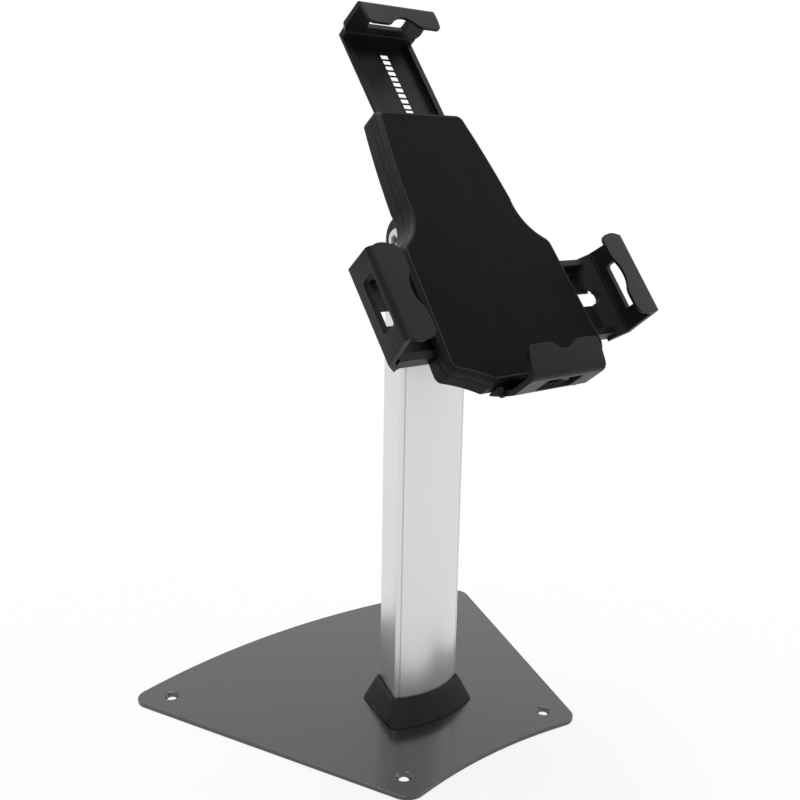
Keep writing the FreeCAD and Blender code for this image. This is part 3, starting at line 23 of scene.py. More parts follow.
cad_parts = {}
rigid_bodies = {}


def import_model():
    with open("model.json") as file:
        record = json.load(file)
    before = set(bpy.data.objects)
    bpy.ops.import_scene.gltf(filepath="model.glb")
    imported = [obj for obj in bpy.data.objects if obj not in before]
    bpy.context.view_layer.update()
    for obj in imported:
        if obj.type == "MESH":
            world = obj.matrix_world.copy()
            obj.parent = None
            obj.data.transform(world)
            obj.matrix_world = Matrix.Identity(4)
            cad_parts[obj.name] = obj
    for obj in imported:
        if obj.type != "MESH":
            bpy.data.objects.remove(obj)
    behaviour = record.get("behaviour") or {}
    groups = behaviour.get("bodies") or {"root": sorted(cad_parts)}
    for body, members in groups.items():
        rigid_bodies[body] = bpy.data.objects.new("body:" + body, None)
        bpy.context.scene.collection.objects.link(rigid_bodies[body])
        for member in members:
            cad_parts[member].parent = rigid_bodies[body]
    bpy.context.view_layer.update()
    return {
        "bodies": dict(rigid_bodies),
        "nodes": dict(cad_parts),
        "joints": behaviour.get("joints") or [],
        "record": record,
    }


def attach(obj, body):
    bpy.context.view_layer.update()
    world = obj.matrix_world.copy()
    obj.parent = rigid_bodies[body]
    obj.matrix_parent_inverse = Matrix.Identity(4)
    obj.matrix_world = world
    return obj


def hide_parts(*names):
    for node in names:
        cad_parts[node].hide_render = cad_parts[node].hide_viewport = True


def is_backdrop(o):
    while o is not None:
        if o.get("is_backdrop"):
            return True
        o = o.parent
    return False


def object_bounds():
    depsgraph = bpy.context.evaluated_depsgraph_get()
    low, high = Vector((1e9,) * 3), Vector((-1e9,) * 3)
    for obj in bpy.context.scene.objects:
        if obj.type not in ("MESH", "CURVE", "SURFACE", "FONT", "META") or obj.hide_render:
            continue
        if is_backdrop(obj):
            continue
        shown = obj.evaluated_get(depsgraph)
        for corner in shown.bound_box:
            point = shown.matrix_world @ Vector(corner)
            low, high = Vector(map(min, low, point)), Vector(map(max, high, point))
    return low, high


LOG = logging.getLogger("tablet_stand")
MM = 0.001
# Corners nearer than this, in millimetres, are one
WELD = 0.002
# Faces that meet at less than this angle, in degrees, are one flat face
FLAT_ANGLE = 0.4
# Edges sharper than these, in degrees, are rounded on copies of CAD nodes, or shaded as sharp
ROUND_ANGLE = 28.0
SHARP_ANGLE = 32.0
Point = tuple[float, float]
FRAME: dict[str, Any] = {}


# Frames and small tools


@dataclass(frozen=True)
class HolderAxes:
    """The leaned axes of the holder, with the tilt pivot's place in them."""

    lean: float = 37.5
    pivot_height: float = 293.7
    pivot_v: float = 20.3
    pivot_w: float = -38.5

    def matrix(self) -> Matrix:
        """The turn and shift from holder millimetres to frame metres."""
        turn = Matrix.Rotation(math.radians(90 - self.lean), 4, "X")
        shift = Vector((0, 0, self.pivot_height)) - turn @ Vector((0, self.pivot_v, self.pivot_w))
        return Matrix.Scale(MM, 4) @ Matrix.Translation(shift) @ turn

    def at(self, u: float, v: float, w: float) -> Matrix:
        """The holder's axes, moved to a point of the holder."""
        return self.matrix() @ Matrix.Translation((u, v, w))


HOLDER = HolderAxes()
STAND = Matrix.Scale(MM, 4)


def add_node(
    tree: NodeTree,
    kind: str,
    options: Mapping[str, Any] | None = None,
    values: Mapping[str | int, Any] | None = None,
    links: Mapping[str | int, NodeSocket] | None = None,
) -> Node:
    """Add a node to a shader or geometry tree.

    Args:
        tree: The tree that the node goes into.
        kind: Blender's name for the kind of node.
        options: Settings of the node itself.
        values: Numbers, colours and words for its input sockets.
        links: Output sockets of other nodes, for its input sockets.

    Returns:
        The new node.
    """
    node = tree.nodes.new(kind)
    for name, value in (options or {}).items():
        setattr(node, name, value)
    for name, value in (values or {}).items():
        node.inputs[name].default_value = value
    for name, socket in (links or {}).items():
        tree.links.new(socket, node.inputs[name])
    return node


def linear(colour: str) -> tuple[float, float, float, float]:
    """Turn an sRGB hex colour into Blender's linear values.

    Args:
        colour: Six hex digits, with or without a leading mark.

    Returns:
        Red, green and blue from 0 to 1, and full alpha.
    """
    digits = colour.lstrip("#")
    parts = [int(digits[start : start + 2], 16) / 255 for start in (0, 2, 4)]
    light = [c / 12.92 if c <= 0.04045 else ((c + 0.055) / 1.055) ** 2.4 for c in parts]
    return (*light, 1.0)


def link(name: str, data: ID) -> Object:
    """Put an object with this data in the scene."""
    thing = bpy.data.objects.new(name, data)
    bpy.context.scene.collection.objects.link(thing)
    return thing


def plain_mesh(thing: Object) -> Object:
    """Turn what an object shows, its modifiers included, into a plain mesh.

    Args:
        thing: A mesh or curve object, which is taken out of the scene.

    Returns:
        A mesh object of the same name, at the same place.
    """
    graph = bpy.context.evaluated_depsgraph_get()
    shown = thing.evaluated_get(graph)
    mesh = bpy.data.meshes.new_from_object(shown, preserve_all_data_layers=True, depsgraph=graph)
    name = thing.name
    place = thing.matrix_world.copy()
    bpy.data.objects.remove(thing)
    mesh.transform(place)
    mesh.name = name
    return link(name, mesh)


def smooth(mesh: Mesh) -> None:
    """Shade every face of a mesh smooth."""
    mesh.polygons.foreach_set("use_smooth", [True] * len(mesh.polygons))


def from_bmesh(name: str, work: BMesh, place: Matrix) -> Object:
    """Make a smooth-shaded object from a bmesh in millimetres.

    Args:
        name: The object's name.
        work: The mesh in the making, which is freed.
        place: The matrix to frame metres.

    Returns:
        The new object, at the origin.
    """
    bmesh.ops.recalc_face_normals(work, faces=work.faces)
    mesh = bpy.data.meshes.new(name)
    work.to_mesh(mesh)
    work.free()
    mesh.transform(place)
    smooth(mesh)
    return link(name, mesh)


def crisp(thing: Object, angle: float = SHARP_ANGLE) -> Object:
    """Keep an object smooth except at edges sharper than an angle in degrees."""
    smooth(thing.data)
    thing.data.set_sharp_from_angle(angle=math.radians(angle))
    return thing


def round_edges(thing: Object, width: float, segments: int) -> Object:
    """Round an object's sharp edges, as a mould or a tumbler leaves them.

    Args:
        thing: A mesh object in metres.
        width: How far from the edge the rounding starts, in millimetres.
        segments: Faces across the rounding.

    Returns:
        A plain mesh object of the same name.
    """
    smooth(thing.data)
    bevel = thing.modifiers.new("edges", "BEVEL")
    bevel.width = width * MM
    bevel.segments = segments
    bevel.limit_method = "ANGLE"
    bevel.angle_limit = math.radians(ROUND_ANGLE)
    bevel.use_clamp_overlap = False
    bevel.loop_slide = False
    bevel.harden_normals = True
    bevel.miter_outer = "MITER_ARC"
    return plain_mesh(thing)


def from_frame(node: str, name: str, width: float, segments: int = 3) -> Object:
    """Copy a node of the frame, join its loose triangles and round its edges.

    Args:
        node: The CAD node.
        name: The new piece's name.
        width: The rounding's reach from an edge, in millimetres; at 0 the edges stay.
        segments: Faces across the rounding.

    Returns:
        The new piece, a plain mesh at the origin.
    """
    source = FRAME["nodes"][node].data
    mesh = bpy.data.meshes.new(name)
    corners = [vertex.co[:] for vertex in source.vertices]
    mesh.from_pydata(corners, [], [face.vertices[:] for face in source.polygons])
    work = bmesh.new()
    work.from_mesh(mesh)
    bmesh.ops.remove_doubles(work, verts=work.verts, dist=WELD * MM)
    if width > 0:
        bmesh.ops.dissolve_limit(
            work, angle_limit=math.radians(FLAT_ANGLE), verts=work.verts, edges=work.edges
        )
        bmesh.ops.triangulate(work, faces=work.faces, quad_method="BEAUTY", ngon_method="BEAUTY")
    work.to_mesh(mesh)
    work.free()
    piece = link(name, mesh)
    return round_edges(piece, width, segments) if width > 0 else crisp(piece, ROUND_ANGLE)


def circle(radius: float, steps: int) -> list[Point]:
    """Points evenly round a circle about the origin."""
    turns = [math.tau * step / steps for step in range(steps)]
    return [(radius * math.cos(a), radius * math.sin(a)) for a in turns]


def lathe(profile: Sequence[Point], steps: int) -> BMesh:
    """Turn a profile about the Z axis.

    Args:
        profile: Radius and height of each point, from one pole to the other.
        steps: Faces round the turn.

    Returns:
        The closed mesh, in millimetres.
    """
    work = bmesh.new()
    rings = []
    for radius, height in profile:
        spots = circle(radius, steps) if radius > 0 else [(0, 0)]
        rings.append([work.verts.new((x, y, height)) for x, y in spots])
    for low, high in zip(rings, rings[1:]):
        for step in range(steps):
            after = (step + 1) % steps
            ring = [low[step % len(low)], low[after % len(low)],
                    high[after % len(high)], high[step % len(high)]]
            face = [vert for index, vert in enumerate(ring) if vert not in ring[:index]]
            work.faces.new(face)
    return work


def prism(outline: Sequence[Point], low: float, high: float, taper: float = 1.0) -> BMesh:
    """Make a block from an outline.

    Args:
        outline: The corners, in order.
        low: The height of its foot.
        high: The height of its top.
        taper: The top's size as a share of the foot's.

    Returns:
        The closed block, in millimetres.
    """
    work = bmesh.new()
    foot = [work.verts.new((x, y, low)) for x, y in outline]
    top = [work.verts.new((x * taper, y * taper, high)) for x, y in outline]
    work.faces.new(list(reversed(foot)))
    work.faces.new(top)
    for index in range(len(outline)):
        after = (index + 1) % len(outline)
        work.faces.new((foot[index], foot[after], top[after], top[index]))
    return work


def cut(thing: Object, tool: Object) -> Object:
    """Cut a tool's shape out of an object, and take the tool away.

    Args:
        thing: The object that is cut.
        tool: The closed mesh that cuts it.

    Returns:
        The cut object, a plain mesh.
    """
    knife = thing.modifiers.new("cut", "BOOLEAN")
    knife.operation = "DIFFERENCE"
    knife.solver = "EXACT"
    knife.object = tool
    done = plain_mesh(thing)
    bpy.data.objects.remove(tool)
    return done


class Grower:
    """A Geometry Nodes tree with named inputs, which ends in Realize Instances and Set Material."""

    def __init__(self, name: str, inputs: Mapping[str, str]) -> None:
        """Start the tree.

        Args:
            name: The tree's name.
            inputs: The kind of socket for each named input.
        """
        self.tree = bpy.data.node_groups.new(name, "GeometryNodeTree")
        self.add = partial(add_node, self.tree)
        sockets = {"Geometry": "NodeSocketGeometry", **inputs, "Finish": "NodeSocketMaterial"}
        for label, kind in sockets.items():
            self.tree.interface.new_socket(label, in_out="INPUT", socket_type=kind)
        self.tree.interface.new_socket("Geometry", in_out="OUTPUT", socket_type=sockets["Geometry"])
        self.start = self.add("NodeGroupInput")

    def given(self, label: str) -> NodeSocket:
        """The socket of a named input."""
        return self.start.outputs[label]

    def end(self, geometry: NodeSocket) -> None:
        """Close the tree on the geometry that it makes."""
        real = self.add("GeometryNodeRealizeInstances", links={"Geometry": geometry})
        painted = self.add(
            "GeometryNodeSetMaterial",
            links={"Geometry": real.outputs[0], "Material": self.given("Finish")},
        )
        self.add("NodeGroupOutput", links={0: painted.outputs[0]})

    def grow(self, carrier: Object, finish: Material, values: Mapping[str, Any]) -> Object:
        """Run the tree on an object.

        Args:
            carrier: The object whose geometry the tree starts from.
            finish: The material of what it makes.
            values: A value for each named input.

        Returns:
            The grown piece, a plain mesh.
        """
        modifier = carrier.modifiers.new(self.tree.name, "NODES")
        modifier.node_group = self.tree
        given = {**values, "Finish": finish}
        for item in self.tree.interface.items_tree:
            if item.in_out == "INPUT" and item.name in given:
                modifier[item.identifier] = given[item.name]
        return plain_mesh(carrier)


# Finishes


# How far the clouds in a finish move its roughness, and the levels of the noise that they use
WEAR = 0.04
CLOUD_LOW, CLOUD_HIGH = 0.3, 0.7


def cleared_tree(owner: Material | World) -> NodeTree:
    """The node tree of a material or of the world, with nothing in it."""
    owner.use_nodes = True
    owner.node_tree.nodes.clear()
    return owner.node_tree


def noise(
    tree: NodeTree, place: NodeSocket, size: float, detail: float, rough: float
) -> NodeSocket:
    """Noise from 0 to 1, in patches of a size in millimetres."""
    values = {"Scale": 1 / (size * MM), "Detail": detail, "Roughness": rough}
    return add_node(tree, "ShaderNodeTexNoise", None, values, {"Vector": place}).outputs["Fac"]


@dataclass(frozen=True)
class Finish:
    """What all finishes share: a colour, how it shines, and a fine surface texture.

    Grain and cloud are the sizes of its patterns, depth is the grain's height, and soft is how far
    the light eases round an edge, all in millimetres.
    """

    name: str
    colour: str
    roughness: float
    grain: float
    depth: float
    specular: float = 0.5
    metallic: float = 0.0
    stretch: tuple[float, float, float] = (1.0, 1.0, 1.0)
    shade: float = 0.06
    cloud: float = 14.0
    soft: float = 0.0

    def build(self) -> Material:
        """Make the material: grain as bump, and slow clouds in its colour and roughness.

        Returns:
            The material.
        """
        material = bpy.data.materials.new(self.name)
        tree = cleared_tree(material)
        shader = add_node(
            tree,
            "ShaderNodeBsdfPrincipled",
            values={"Metallic": self.metallic, "Specular IOR Level": self.specular},
        )
        place = add_node(tree, "ShaderNodeTexCoord").outputs["Object"]
        drawn = add_node(
            tree, "ShaderNodeMapping", values={"Scale": self.stretch}, links={"Vector": place}
        ).outputs["Vector"]
        grain = self.grain_height(tree, drawn)
        bump = add_node(
            tree,
            "ShaderNodeBump",
            values={"Strength": 1.0, "Distance": self.depth * MM},
            links={"Height": grain},
        )
        if self.soft > 0:
            eased = add_node(tree, "ShaderNodeBevel", {"samples": 6}, {"Radius": self.soft * MM})
            tree.links.new(eased.outputs["Normal"], bump.inputs["Normal"])
        clouds = noise(tree, place, self.cloud, detail=3.0, rough=0.55)
        base = linear(self.colour)
        darker = tuple(c * (1 - self.shade) for c in base[:3]) + (1.0,)
        lighter = tuple(min(1.0, c * (1 + self.shade)) for c in base[:3]) + (1.0,)
        tint = add_node(
            tree,
            "ShaderNodeMix",
            {"data_type": "RGBA"},
            {"A": darker, "B": lighter},
            {"Factor": clouds},
        )
        worn = add_node(
            tree,
            "ShaderNodeMapRange",
            values={
                "From Min": CLOUD_LOW,
                "From Max": CLOUD_HIGH,
                "To Min": self.roughness - WEAR,
                "To Max": self.roughness + WEAR,
            },
            links={"Value": clouds},
        )
        for socket, source in (
            ("Base Color", tint.outputs["Result"]),
            ("Roughness", worn.outputs["Result"]),
            ("Normal", bump.outputs["Normal"]),
        ):
            tree.links.new(source, shader.inputs[socket])
        add_node(tree, "ShaderNodeOutputMaterial", links={"Surface": shader.outputs["BSDF"]})
        return material

    def grain_height(self, tree: NodeTree, place: NodeSocket) -> NodeSocket:
        """Height of the fine texture: soft pebbles of the grain's size.

        Args:
            tree: The material's tree.
            place: Where on the surface.

        Returns:
            The height socket.
        """
        return noise(tree, place, self.grain, detail=2.0, rough=0.5)


@dataclass(frozen=True)
class DrawnMetal(Finish):
    """Extruded and anodised: long die lines along the length, fine ones and broader ones."""

    broader: float = 4.0

    def grain_height(self, tree: NodeTree, place: NodeSocket) -> NodeSocket:
        """Height of the die lines, in place of the pebbles."""
        lines = [noise(tree, place, wide, detail=2.0, rough=0.6)
                 for wide in (self.grain, self.grain * self.broader)]
        return add_node(
            tree, "ShaderNodeMath", {"operation": "ADD"}, links={0: lines[0], 1: lines[1]}
        ).outputs["Value"]


class Paint(Enum):
    """The finishes of the stand, each named for what the real one is."""

    # Fine satin powder coat on steel: even, faint orange peel, strong sheen at a low angle
    POWDER_COAT = Finish(
        "satin_powder_coat", "#2a2523", 0.2, 0.55, 0.012, 0.95, shade=0.05, cloud=40
    )
    # Natural anodised extrusion: soft vertical die lines, satin and a little streaky
    ANODISED = DrawnMetal(
        "satin_anodised_aluminium", "#d9d9da", 0.34, 0.7, 0.004, metallic=1.0,
        stretch=(1.0, 1.0, 0.012), shade=0.02, cloud=60,
    )
    # Moulded ABS with a fine spark-eroded grain: matt, grey only where light grazes it
    SHELL_ABS = Finish("grained_black_abs", "#1b1a19", 0.5, 0.45, 0.02, 0.14)
    # Glass-filled nylon of the arms: satin, slightly glossier than the shells, with eased edges
    SATIN_NYLON = Finish("satin_black_nylon", "#1c1b1c", 0.4, 0.7, 0.012, 0.14, soft=0.45)
    # Moulded polypropylene skirt: matt, brownish black
    COLLAR_PP = Finish("matt_black_polypropylene", "#1d1a19", 0.5, 0.5, 0.02, 0.2)
    # Satin black paint on cast zinc: soft orange peel
    CAST_PAINT = Finish("satin_black_paint", "#161616", 0.42, 1.1, 0.02, 0.3)
    # Smooth rubber sheet: deep black with hardly any shine
    PAD_RUBBER = Finish("matt_black_rubber", "#0c0b0a", 0.6, 0.35, 0.012, 0.05)
    # Soft ribbed rubber: dull, slightly grey with dust
    GRIP_RUBBER = Finish("ribbed_soft_rubber", "#1a1919", 0.7, 0.4, 0.015, 0.3, shade=0.12)
    # Bright zinc plating: fresh, faintly blue, with fine polishing marks
    ZINC = Finish(
        "bright_zinc_plate", "#c9ccd0", 0.22, 0.5, 0.004, metallic=1.0, shade=0.03, cloud=5
    )
    # Natural nylon washer: milky white
    WHITE_NYLON = Finish("natural_nylon", "#cfcec6", 0.45, 0.5, 0.008, 0.45)
    # Natural acetal gear: whiter and slicker than nylon
    ACETAL = Finish("natural_acetal", "#e0ddd2", 0.35, 0.5, 0.006, 0.5)


class Wardrobe:
    """Materials already made, one for each finish."""

    def __init__(self) -> None:
        """Start with nothing made."""
        self.made: dict[Paint, Material] = {}

    def get(self, paint: Paint) -> Material:
        """The material of a finish, made on first use."""
        if paint not in self.made:
            self.made[paint] = paint.value.build()
        return self.made[paint]


@dataclass
class SubAssembly:
    """Pieces that ride on the frame's bodies, with the tools that all sub-assemblies share."""

    wardrobe: Wardrobe
    pieces: list[Object] = field(default_factory=list)

    def build(self) -> None:
        """Make the meshes; each sub-assembly has its own."""

    def dress(self) -> None:
        """Paint what the frame keeps showing; each sub-assembly has its own."""

    def fit(self, piece: Object, body: str, slot: str, paint: Paint | None, *nodes: str) -> None:
        """Set a finished piece in the frame.

        Args:
            piece: A plain mesh at the origin.
            body: The CAD body that it rides on.
            slot: The record's material slot; not used.
            paint: Its finish, or None where its tree has set one.
            nodes: The CAD nodes that it stands for.
        """
        if paint is not None:
            piece.data.materials.clear()
            piece.data.materials.append(self.wardrobe.get(paint))
        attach(piece, body)
        if nodes:
            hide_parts(*nodes)
        self.pieces.append(piece)
        LOG.info("%s: %d faces, on %s", piece.name, len(piece.data.polygons), body)

    def paint_nodes(self, paint: Paint, *nodes: str) -> None:
        """Give CAD nodes that stay in view a finish.

        Args:
            paint: The finish.
            nodes: The CAD nodes.
        """
        for node in nodes:
            kept = FRAME["nodes"][node]
            if not kept.material_slots:
                kept.data.materials.append(None)
            for place in kept.material_slots:
                place.material = self.wardrobe.get(paint)
            LOG.info("%s: painted as %s", node, paint.value.name)


# Fasteners


@dataclass(frozen=True)
class ScrewPorts:
    """Where the column's four screw ports stand, from its axis."""

    front_half: float = 20.3
    front: float = 7.6
    back_half: float = 6.0
    back: float = 12.0


PORTS = ScrewPorts()


@dataclass(frozen=True)
class CrossScrew:
    """A screw with a cross recess, its head's seat or flat at Z = 0.

    The recess's reach, wide and deep are shares of the head.
    """

    size: float
    head: float
    tall: float
    length: float
    sunk: bool = False
    rim_land: float = 0.1
    point_long: float = 0.6
    point_share: float = 0.55
    dome_share: float = 0.75
    dome_step: int = 18
    recess_reach: float = 0.3
    recess_wide: float = 0.075
    recess_deep: float = 0.26
    recess_taper: float = 0.45
    recess_past: float = 0.2
    turn_steps: int = 28

    def profile(self) -> list[Point]:
        """The screw's half section, from its point to the middle of its head."""
        half = self.size / 2
        rim = self.head / 2
        if self.sunk:
            taper = rim - half
            return [(0, 0), (rim - self.rim_land, 0), (rim, self.rim_land), (half, taper),
                    (half, self.length - self.point_long),
                    (half * self.point_share, self.length), (0, self.length)]
        share = self.dome_share
        dome = [
            (rim - self.tall * share * (1 - math.cos(a)),
             self.tall * ((1 - share) + share * math.sin(a)))
            for a in (math.radians(step) for step in range(0, 91, self.dome_step))
        ]
        return [(0, -self.length), (half * self.point_share, -self.length),
                (half, self.point_long - self.length), (half, 0), (rim, 0), *dome, (0, self.tall)]

    def build(self, name: str) -> Object:
        """Make one screw.

        Args:
            name: The mesh's name.

        Returns:
            The screw, in millimetres, from which copies are made.
        """
        screw = from_bmesh(name, lathe(self.profile(), self.turn_steps), Matrix.Identity(4))
        top, over = (0.0, 0) if self.sunk else (self.tall, 180)
        reach, wide = self.head * self.recess_reach, self.head * self.recess_wide
        for turn in (0, 90):
            arm = prism([(-reach, -wide), (reach, -wide), (reach, wide), (-reach, wide)],
                        -self.recess_past, self.head * self.recess_deep, self.recess_taper)
            arm.transform(Matrix.Translation((0, 0, top))
                          @ Matrix.Rotation(math.radians(over), 4, "X")
                          @ Matrix.Rotation(math.radians(turn), 4, "Z"))
            screw = cut(screw, from_bmesh(f"{name}_tool", arm, Matrix.Identity(4)))
        return crisp(screw)


def scatter_tree() -> Grower:
    """The tree that sets a copy of one screw at each point of its geometry."""
    grower = Grower("screw_scatter", {"Screw": "NodeSocketObject", "Twist": "NodeSocketFloat"})
    screw = grower.add("GeometryNodeObjectInfo", links={"Object": grower.given("Screw")})
    order = grower.add("GeometryNodeInputIndex")
    step = grower.add("ShaderNodeMath", {"operation": "MULTIPLY"},
                      links={0: order.outputs[0], 1: grower.given("Twist")})
    turn = grower.add("ShaderNodeCombineXYZ", links={"Z": step.outputs[0]})
    copies = grower.add(
        "GeometryNodeInstanceOnPoints",
        links={"Points": grower.given("Geometry"), "Instance": screw.outputs["Geometry"],
               "Rotation": turn.outputs[0]},
    )
    grower.end(copies.outputs[0])
    return grower


@dataclass
class Fasteners(SubAssembly):
    """The screws of cap, column foot, shells and bottom jaw, in groups of identical ones."""

    cap_top: float = 266.0
    shell_back: float = 16.7
    top_spot: Point = (29.4, 55.0)
    middle_spot: Point = (45.0, -11.8)
    low_spot: Point = (38.0, -76.5)
    jaw_spot: Point = (14.0, -78.5)
    twist: float = 0.9

    def build(self) -> None:
        """Scatter each group over its holes."""
        grower = scatter_tree()
        ports = [(side * PORTS.front_half, -PORTS.front) for side in (-1, 1)]
        ports += [(side * PORTS.back_half, PORTS.back) for side in (-1, 1)]
        shell = [(side * x, y) for x, y in (self.top_spot, self.middle_spot, self.low_spot)
                 for side in (-1, 1)]
        jaw = [(side * self.jaw_spot[0], self.jaw_spot[1]) for side in (-1, 1)]
        back = HOLDER.at(0, 0, -self.shell_back)
        pan = CrossScrew(size=3.5, head=6.6, tall=2.4, length=16.0)
        flat = CrossScrew(size=3.5, head=6.6, tall=0.0, length=16.0, sunk=True)
        small = CrossScrew(size=2.6, head=5.0, tall=0.0, length=8.3, sunk=True)
        short = CrossScrew(size=2.6, head=5.0, tall=0.0, length=4.7, sunk=True)
        lift = STAND @ Matrix.Translation((0, 0, self.cap_top))
        for node, screw, spots, place, body in (
            ("cap_screws", pan, ports, lift, "stand"),
            ("column_foot_screws", flat, ports, STAND, "stand"),
            ("housing_screws", small, shell, back, "holder"),
            ("bottom_jaw_screws", short, jaw, back, "holder"),
        ):
            master = screw.build(f"{node}_master")
            points = bpy.data.meshes.new(node)
            points.from_pydata([(x, y, 0) for x, y in spots], [], [])
            values = {"Screw": master, "Twist": self.twist}
            carrier = link(f"{node}_heads", points)
            group = grower.grow(carrier, self.wardrobe.get(Paint.ZINC), values)
            group.data.transform(place)
            bpy.data.objects.remove(master)
            self.fit(crisp(group), body, "bright_steel", None, node)


# The stand


@dataclass
class Foot(SubAssembly):
    """Base plate and the moulded skirt round the column's foot."""

    plate_edge: float = 0.35
    collar_edge: float = 0.6

    def build(self) -> None:
        """Round the plate's cut edges and the skirt's moulded ones."""
        plate = from_frame("base_plate", "plate_coated", self.plate_edge, 2)
        self.fit(plate, "stand", "plate_paint", Paint.POWDER_COAT, "base_plate")
        collar = from_frame("foot_collar", "collar_moulded", self.collar_edge)
        self.fit(collar, "stand", "moulded_black", Paint.COLLAR_PP, "foot_collar")


@dataclass
class Column(SubAssembly):
    """The extrusion, grown along its length from its section."""

    foot: float = 2.5
    length: float = 255.5
    front_half: float = 25.2
    front_face: float = 11.9
    front_bow: float = 6.6
    back_half: float = 14.3
    back_face: float = 16.5
    edge: float = 1.6
    wall: float = 2.4
    groove_inset: float = 2.4
    groove_wide: float = 0.9
    groove_deep: float = 2.2
    port_land: float = 3.9
    port_bore: float = 3.6
    front_steps: int = 12
    corner_steps: int = 6
    bore_steps: int = 24
    sharp_angle: float = 24.0
    weld: float = 0.001

    def front_at(self, x: float) -> float:
        """How far forward the bowed front stands at a distance from the middle."""
        radius = (self.front_half**2 + self.front_bow**2) / (2 * self.front_bow)
        return -self.front_face - self.front_bow + radius - math.sqrt(radius**2 - x**2)

    def outer(self) -> list[Point]:
        """The outside of the section, from the middle of the front round to the right."""
        slot_out = self.front_half - self.groove_inset
        slot_in = slot_out - self.groove_wide
        floor = -self.front_face - self.front_bow / 2 + self.groove_deep
        steps = [slot_in * step / self.front_steps for step in range(self.front_steps + 1)]
        right = [(x, self.front_at(x)) for x in steps]
        right += [(slot_in, floor), (slot_out, floor), (slot_out, self.front_at(slot_out))]
        corner = self.rounded((self.front_half, -self.front_face),
                              (slot_out, self.front_at(slot_out)),
                              (self.back_half, self.back_face))
        back = self.rounded((self.back_half, self.back_face), (self.front_half, -self.front_face),
                            (-self.back_half, self.back_face))
        right += corner + back
        return right + [(-x, y) for x, y in reversed(right) if x > 0]

    def rounded(self, corner: Point, before: Point, after: Point) -> list[Point]:
        """Points of a rounded corner between two others.

        Args:
            corner: The sharp corner.
            before: The point that the outline comes from.
            after: The point that it goes on to.

        Returns:
            The points round the corner, both ends included.
        """
        spot = Vector(corner)
        first = (Vector(before) - spot).normalized()
        last = (Vector(after) - spot).normalized()
        half = first.angle(last) / 2
        middle = spot + (first + last).normalized() * (self.edge / math.sin(half))
        start = spot + first * (self.edge / math.tan(half)) - middle
        sweep = math.pi - 2 * half
        side = math.copysign(1, first.cross(last))
        points = []
        for step in range(self.corner_steps + 1):
            turn = Matrix.Rotation(-side * sweep * step / self.corner_steps, 2)
            points.append(tuple(middle + turn @ start))
        return points

    def ring(self, x: float, y: float) -> list[Point]:
        """The bore of a screw port."""
        spots = circle(self.port_bore / 2, self.bore_steps)
        return [(x + across, y + along) for across, along in spots]

    def hollow(self) -> list[Point]:
        """The room inside, between the lands of the screw ports."""
        slope = (self.front_half - self.back_half) / (self.front_face + self.back_face)
        land_front = PORTS.front - self.port_land
        land_back = PORTS.back - self.port_land
        wide = self.front_half - self.wall - slope * (self.front_face - land_front)
        narrow = self.front_half - self.wall - slope * (self.front_face + land_back)
        inner = PORTS.front_half - self.port_land
        front = -self.front_face - self.wall / 2
        right = [(inner, front), (inner, -land_front), (wide, -land_front), (narrow, land_back)]
        return right + [(-x, y) for x, y in reversed(right)]

    def build(self) -> None:
        """Fill the section and grow it up to the cap."""
        grower = Grower("extrusion", {"Length": "NodeSocketFloat"})
        filled = grower.add("GeometryNodeFillCurve", links={"Curve": grower.given("Geometry")})
        rise = grower.add("ShaderNodeCombineXYZ", links={"Z": grower.given("Length")})
        walls = grower.add(
            "GeometryNodeExtrudeMesh",
            values={"Offset Scale": 1.0, "Individual": False},
            links={"Mesh": filled.outputs[0], "Offset": rise.outputs[0]},
        )
        under = grower.add("GeometryNodeFlipFaces", links={"Mesh": filled.outputs[0]})
        both = grower.add("GeometryNodeJoinGeometry", links={"Geometry": walls.outputs["Mesh"]})
        grower.tree.links.new(under.outputs[0], both.inputs["Geometry"])
        closed = grower.add(
            "GeometryNodeMergeByDistance",
            values={"Distance": self.weld * MM},
            links={"Geometry": both.outputs[0]},
        )
        grower.end(closed.outputs[0])
        section = bpy.data.curves.new("column_section", "CURVE")
        section.dimensions = "2D"
        loops = [self.outer(), self.hollow()]
        for side in (-1, 1):
            loops.append(self.ring(side * PORTS.front_half, -PORTS.front))
            loops.append(self.ring(side * PORTS.back_half, PORTS.back))
        for loop in loops:
            line = section.splines.new("POLY")
            line.points.add(len(loop) - 1)
            for point, (x, y) in zip(line.points, loop):
                point.co = (x * MM, y * MM, 0, 1)
            line.use_cyclic_u = True
        carrier = link("column_extruded", section)
        metal = self.wardrobe.get(Paint.ANODISED)
        column = grower.grow(carrier, metal, {"Length": self.length * MM})
        column.data.transform(Matrix.Translation((0, 0, self.foot * MM)))
        self.fit(crisp(column, self.sharp_angle), "stand", "column_metal", None, "column")


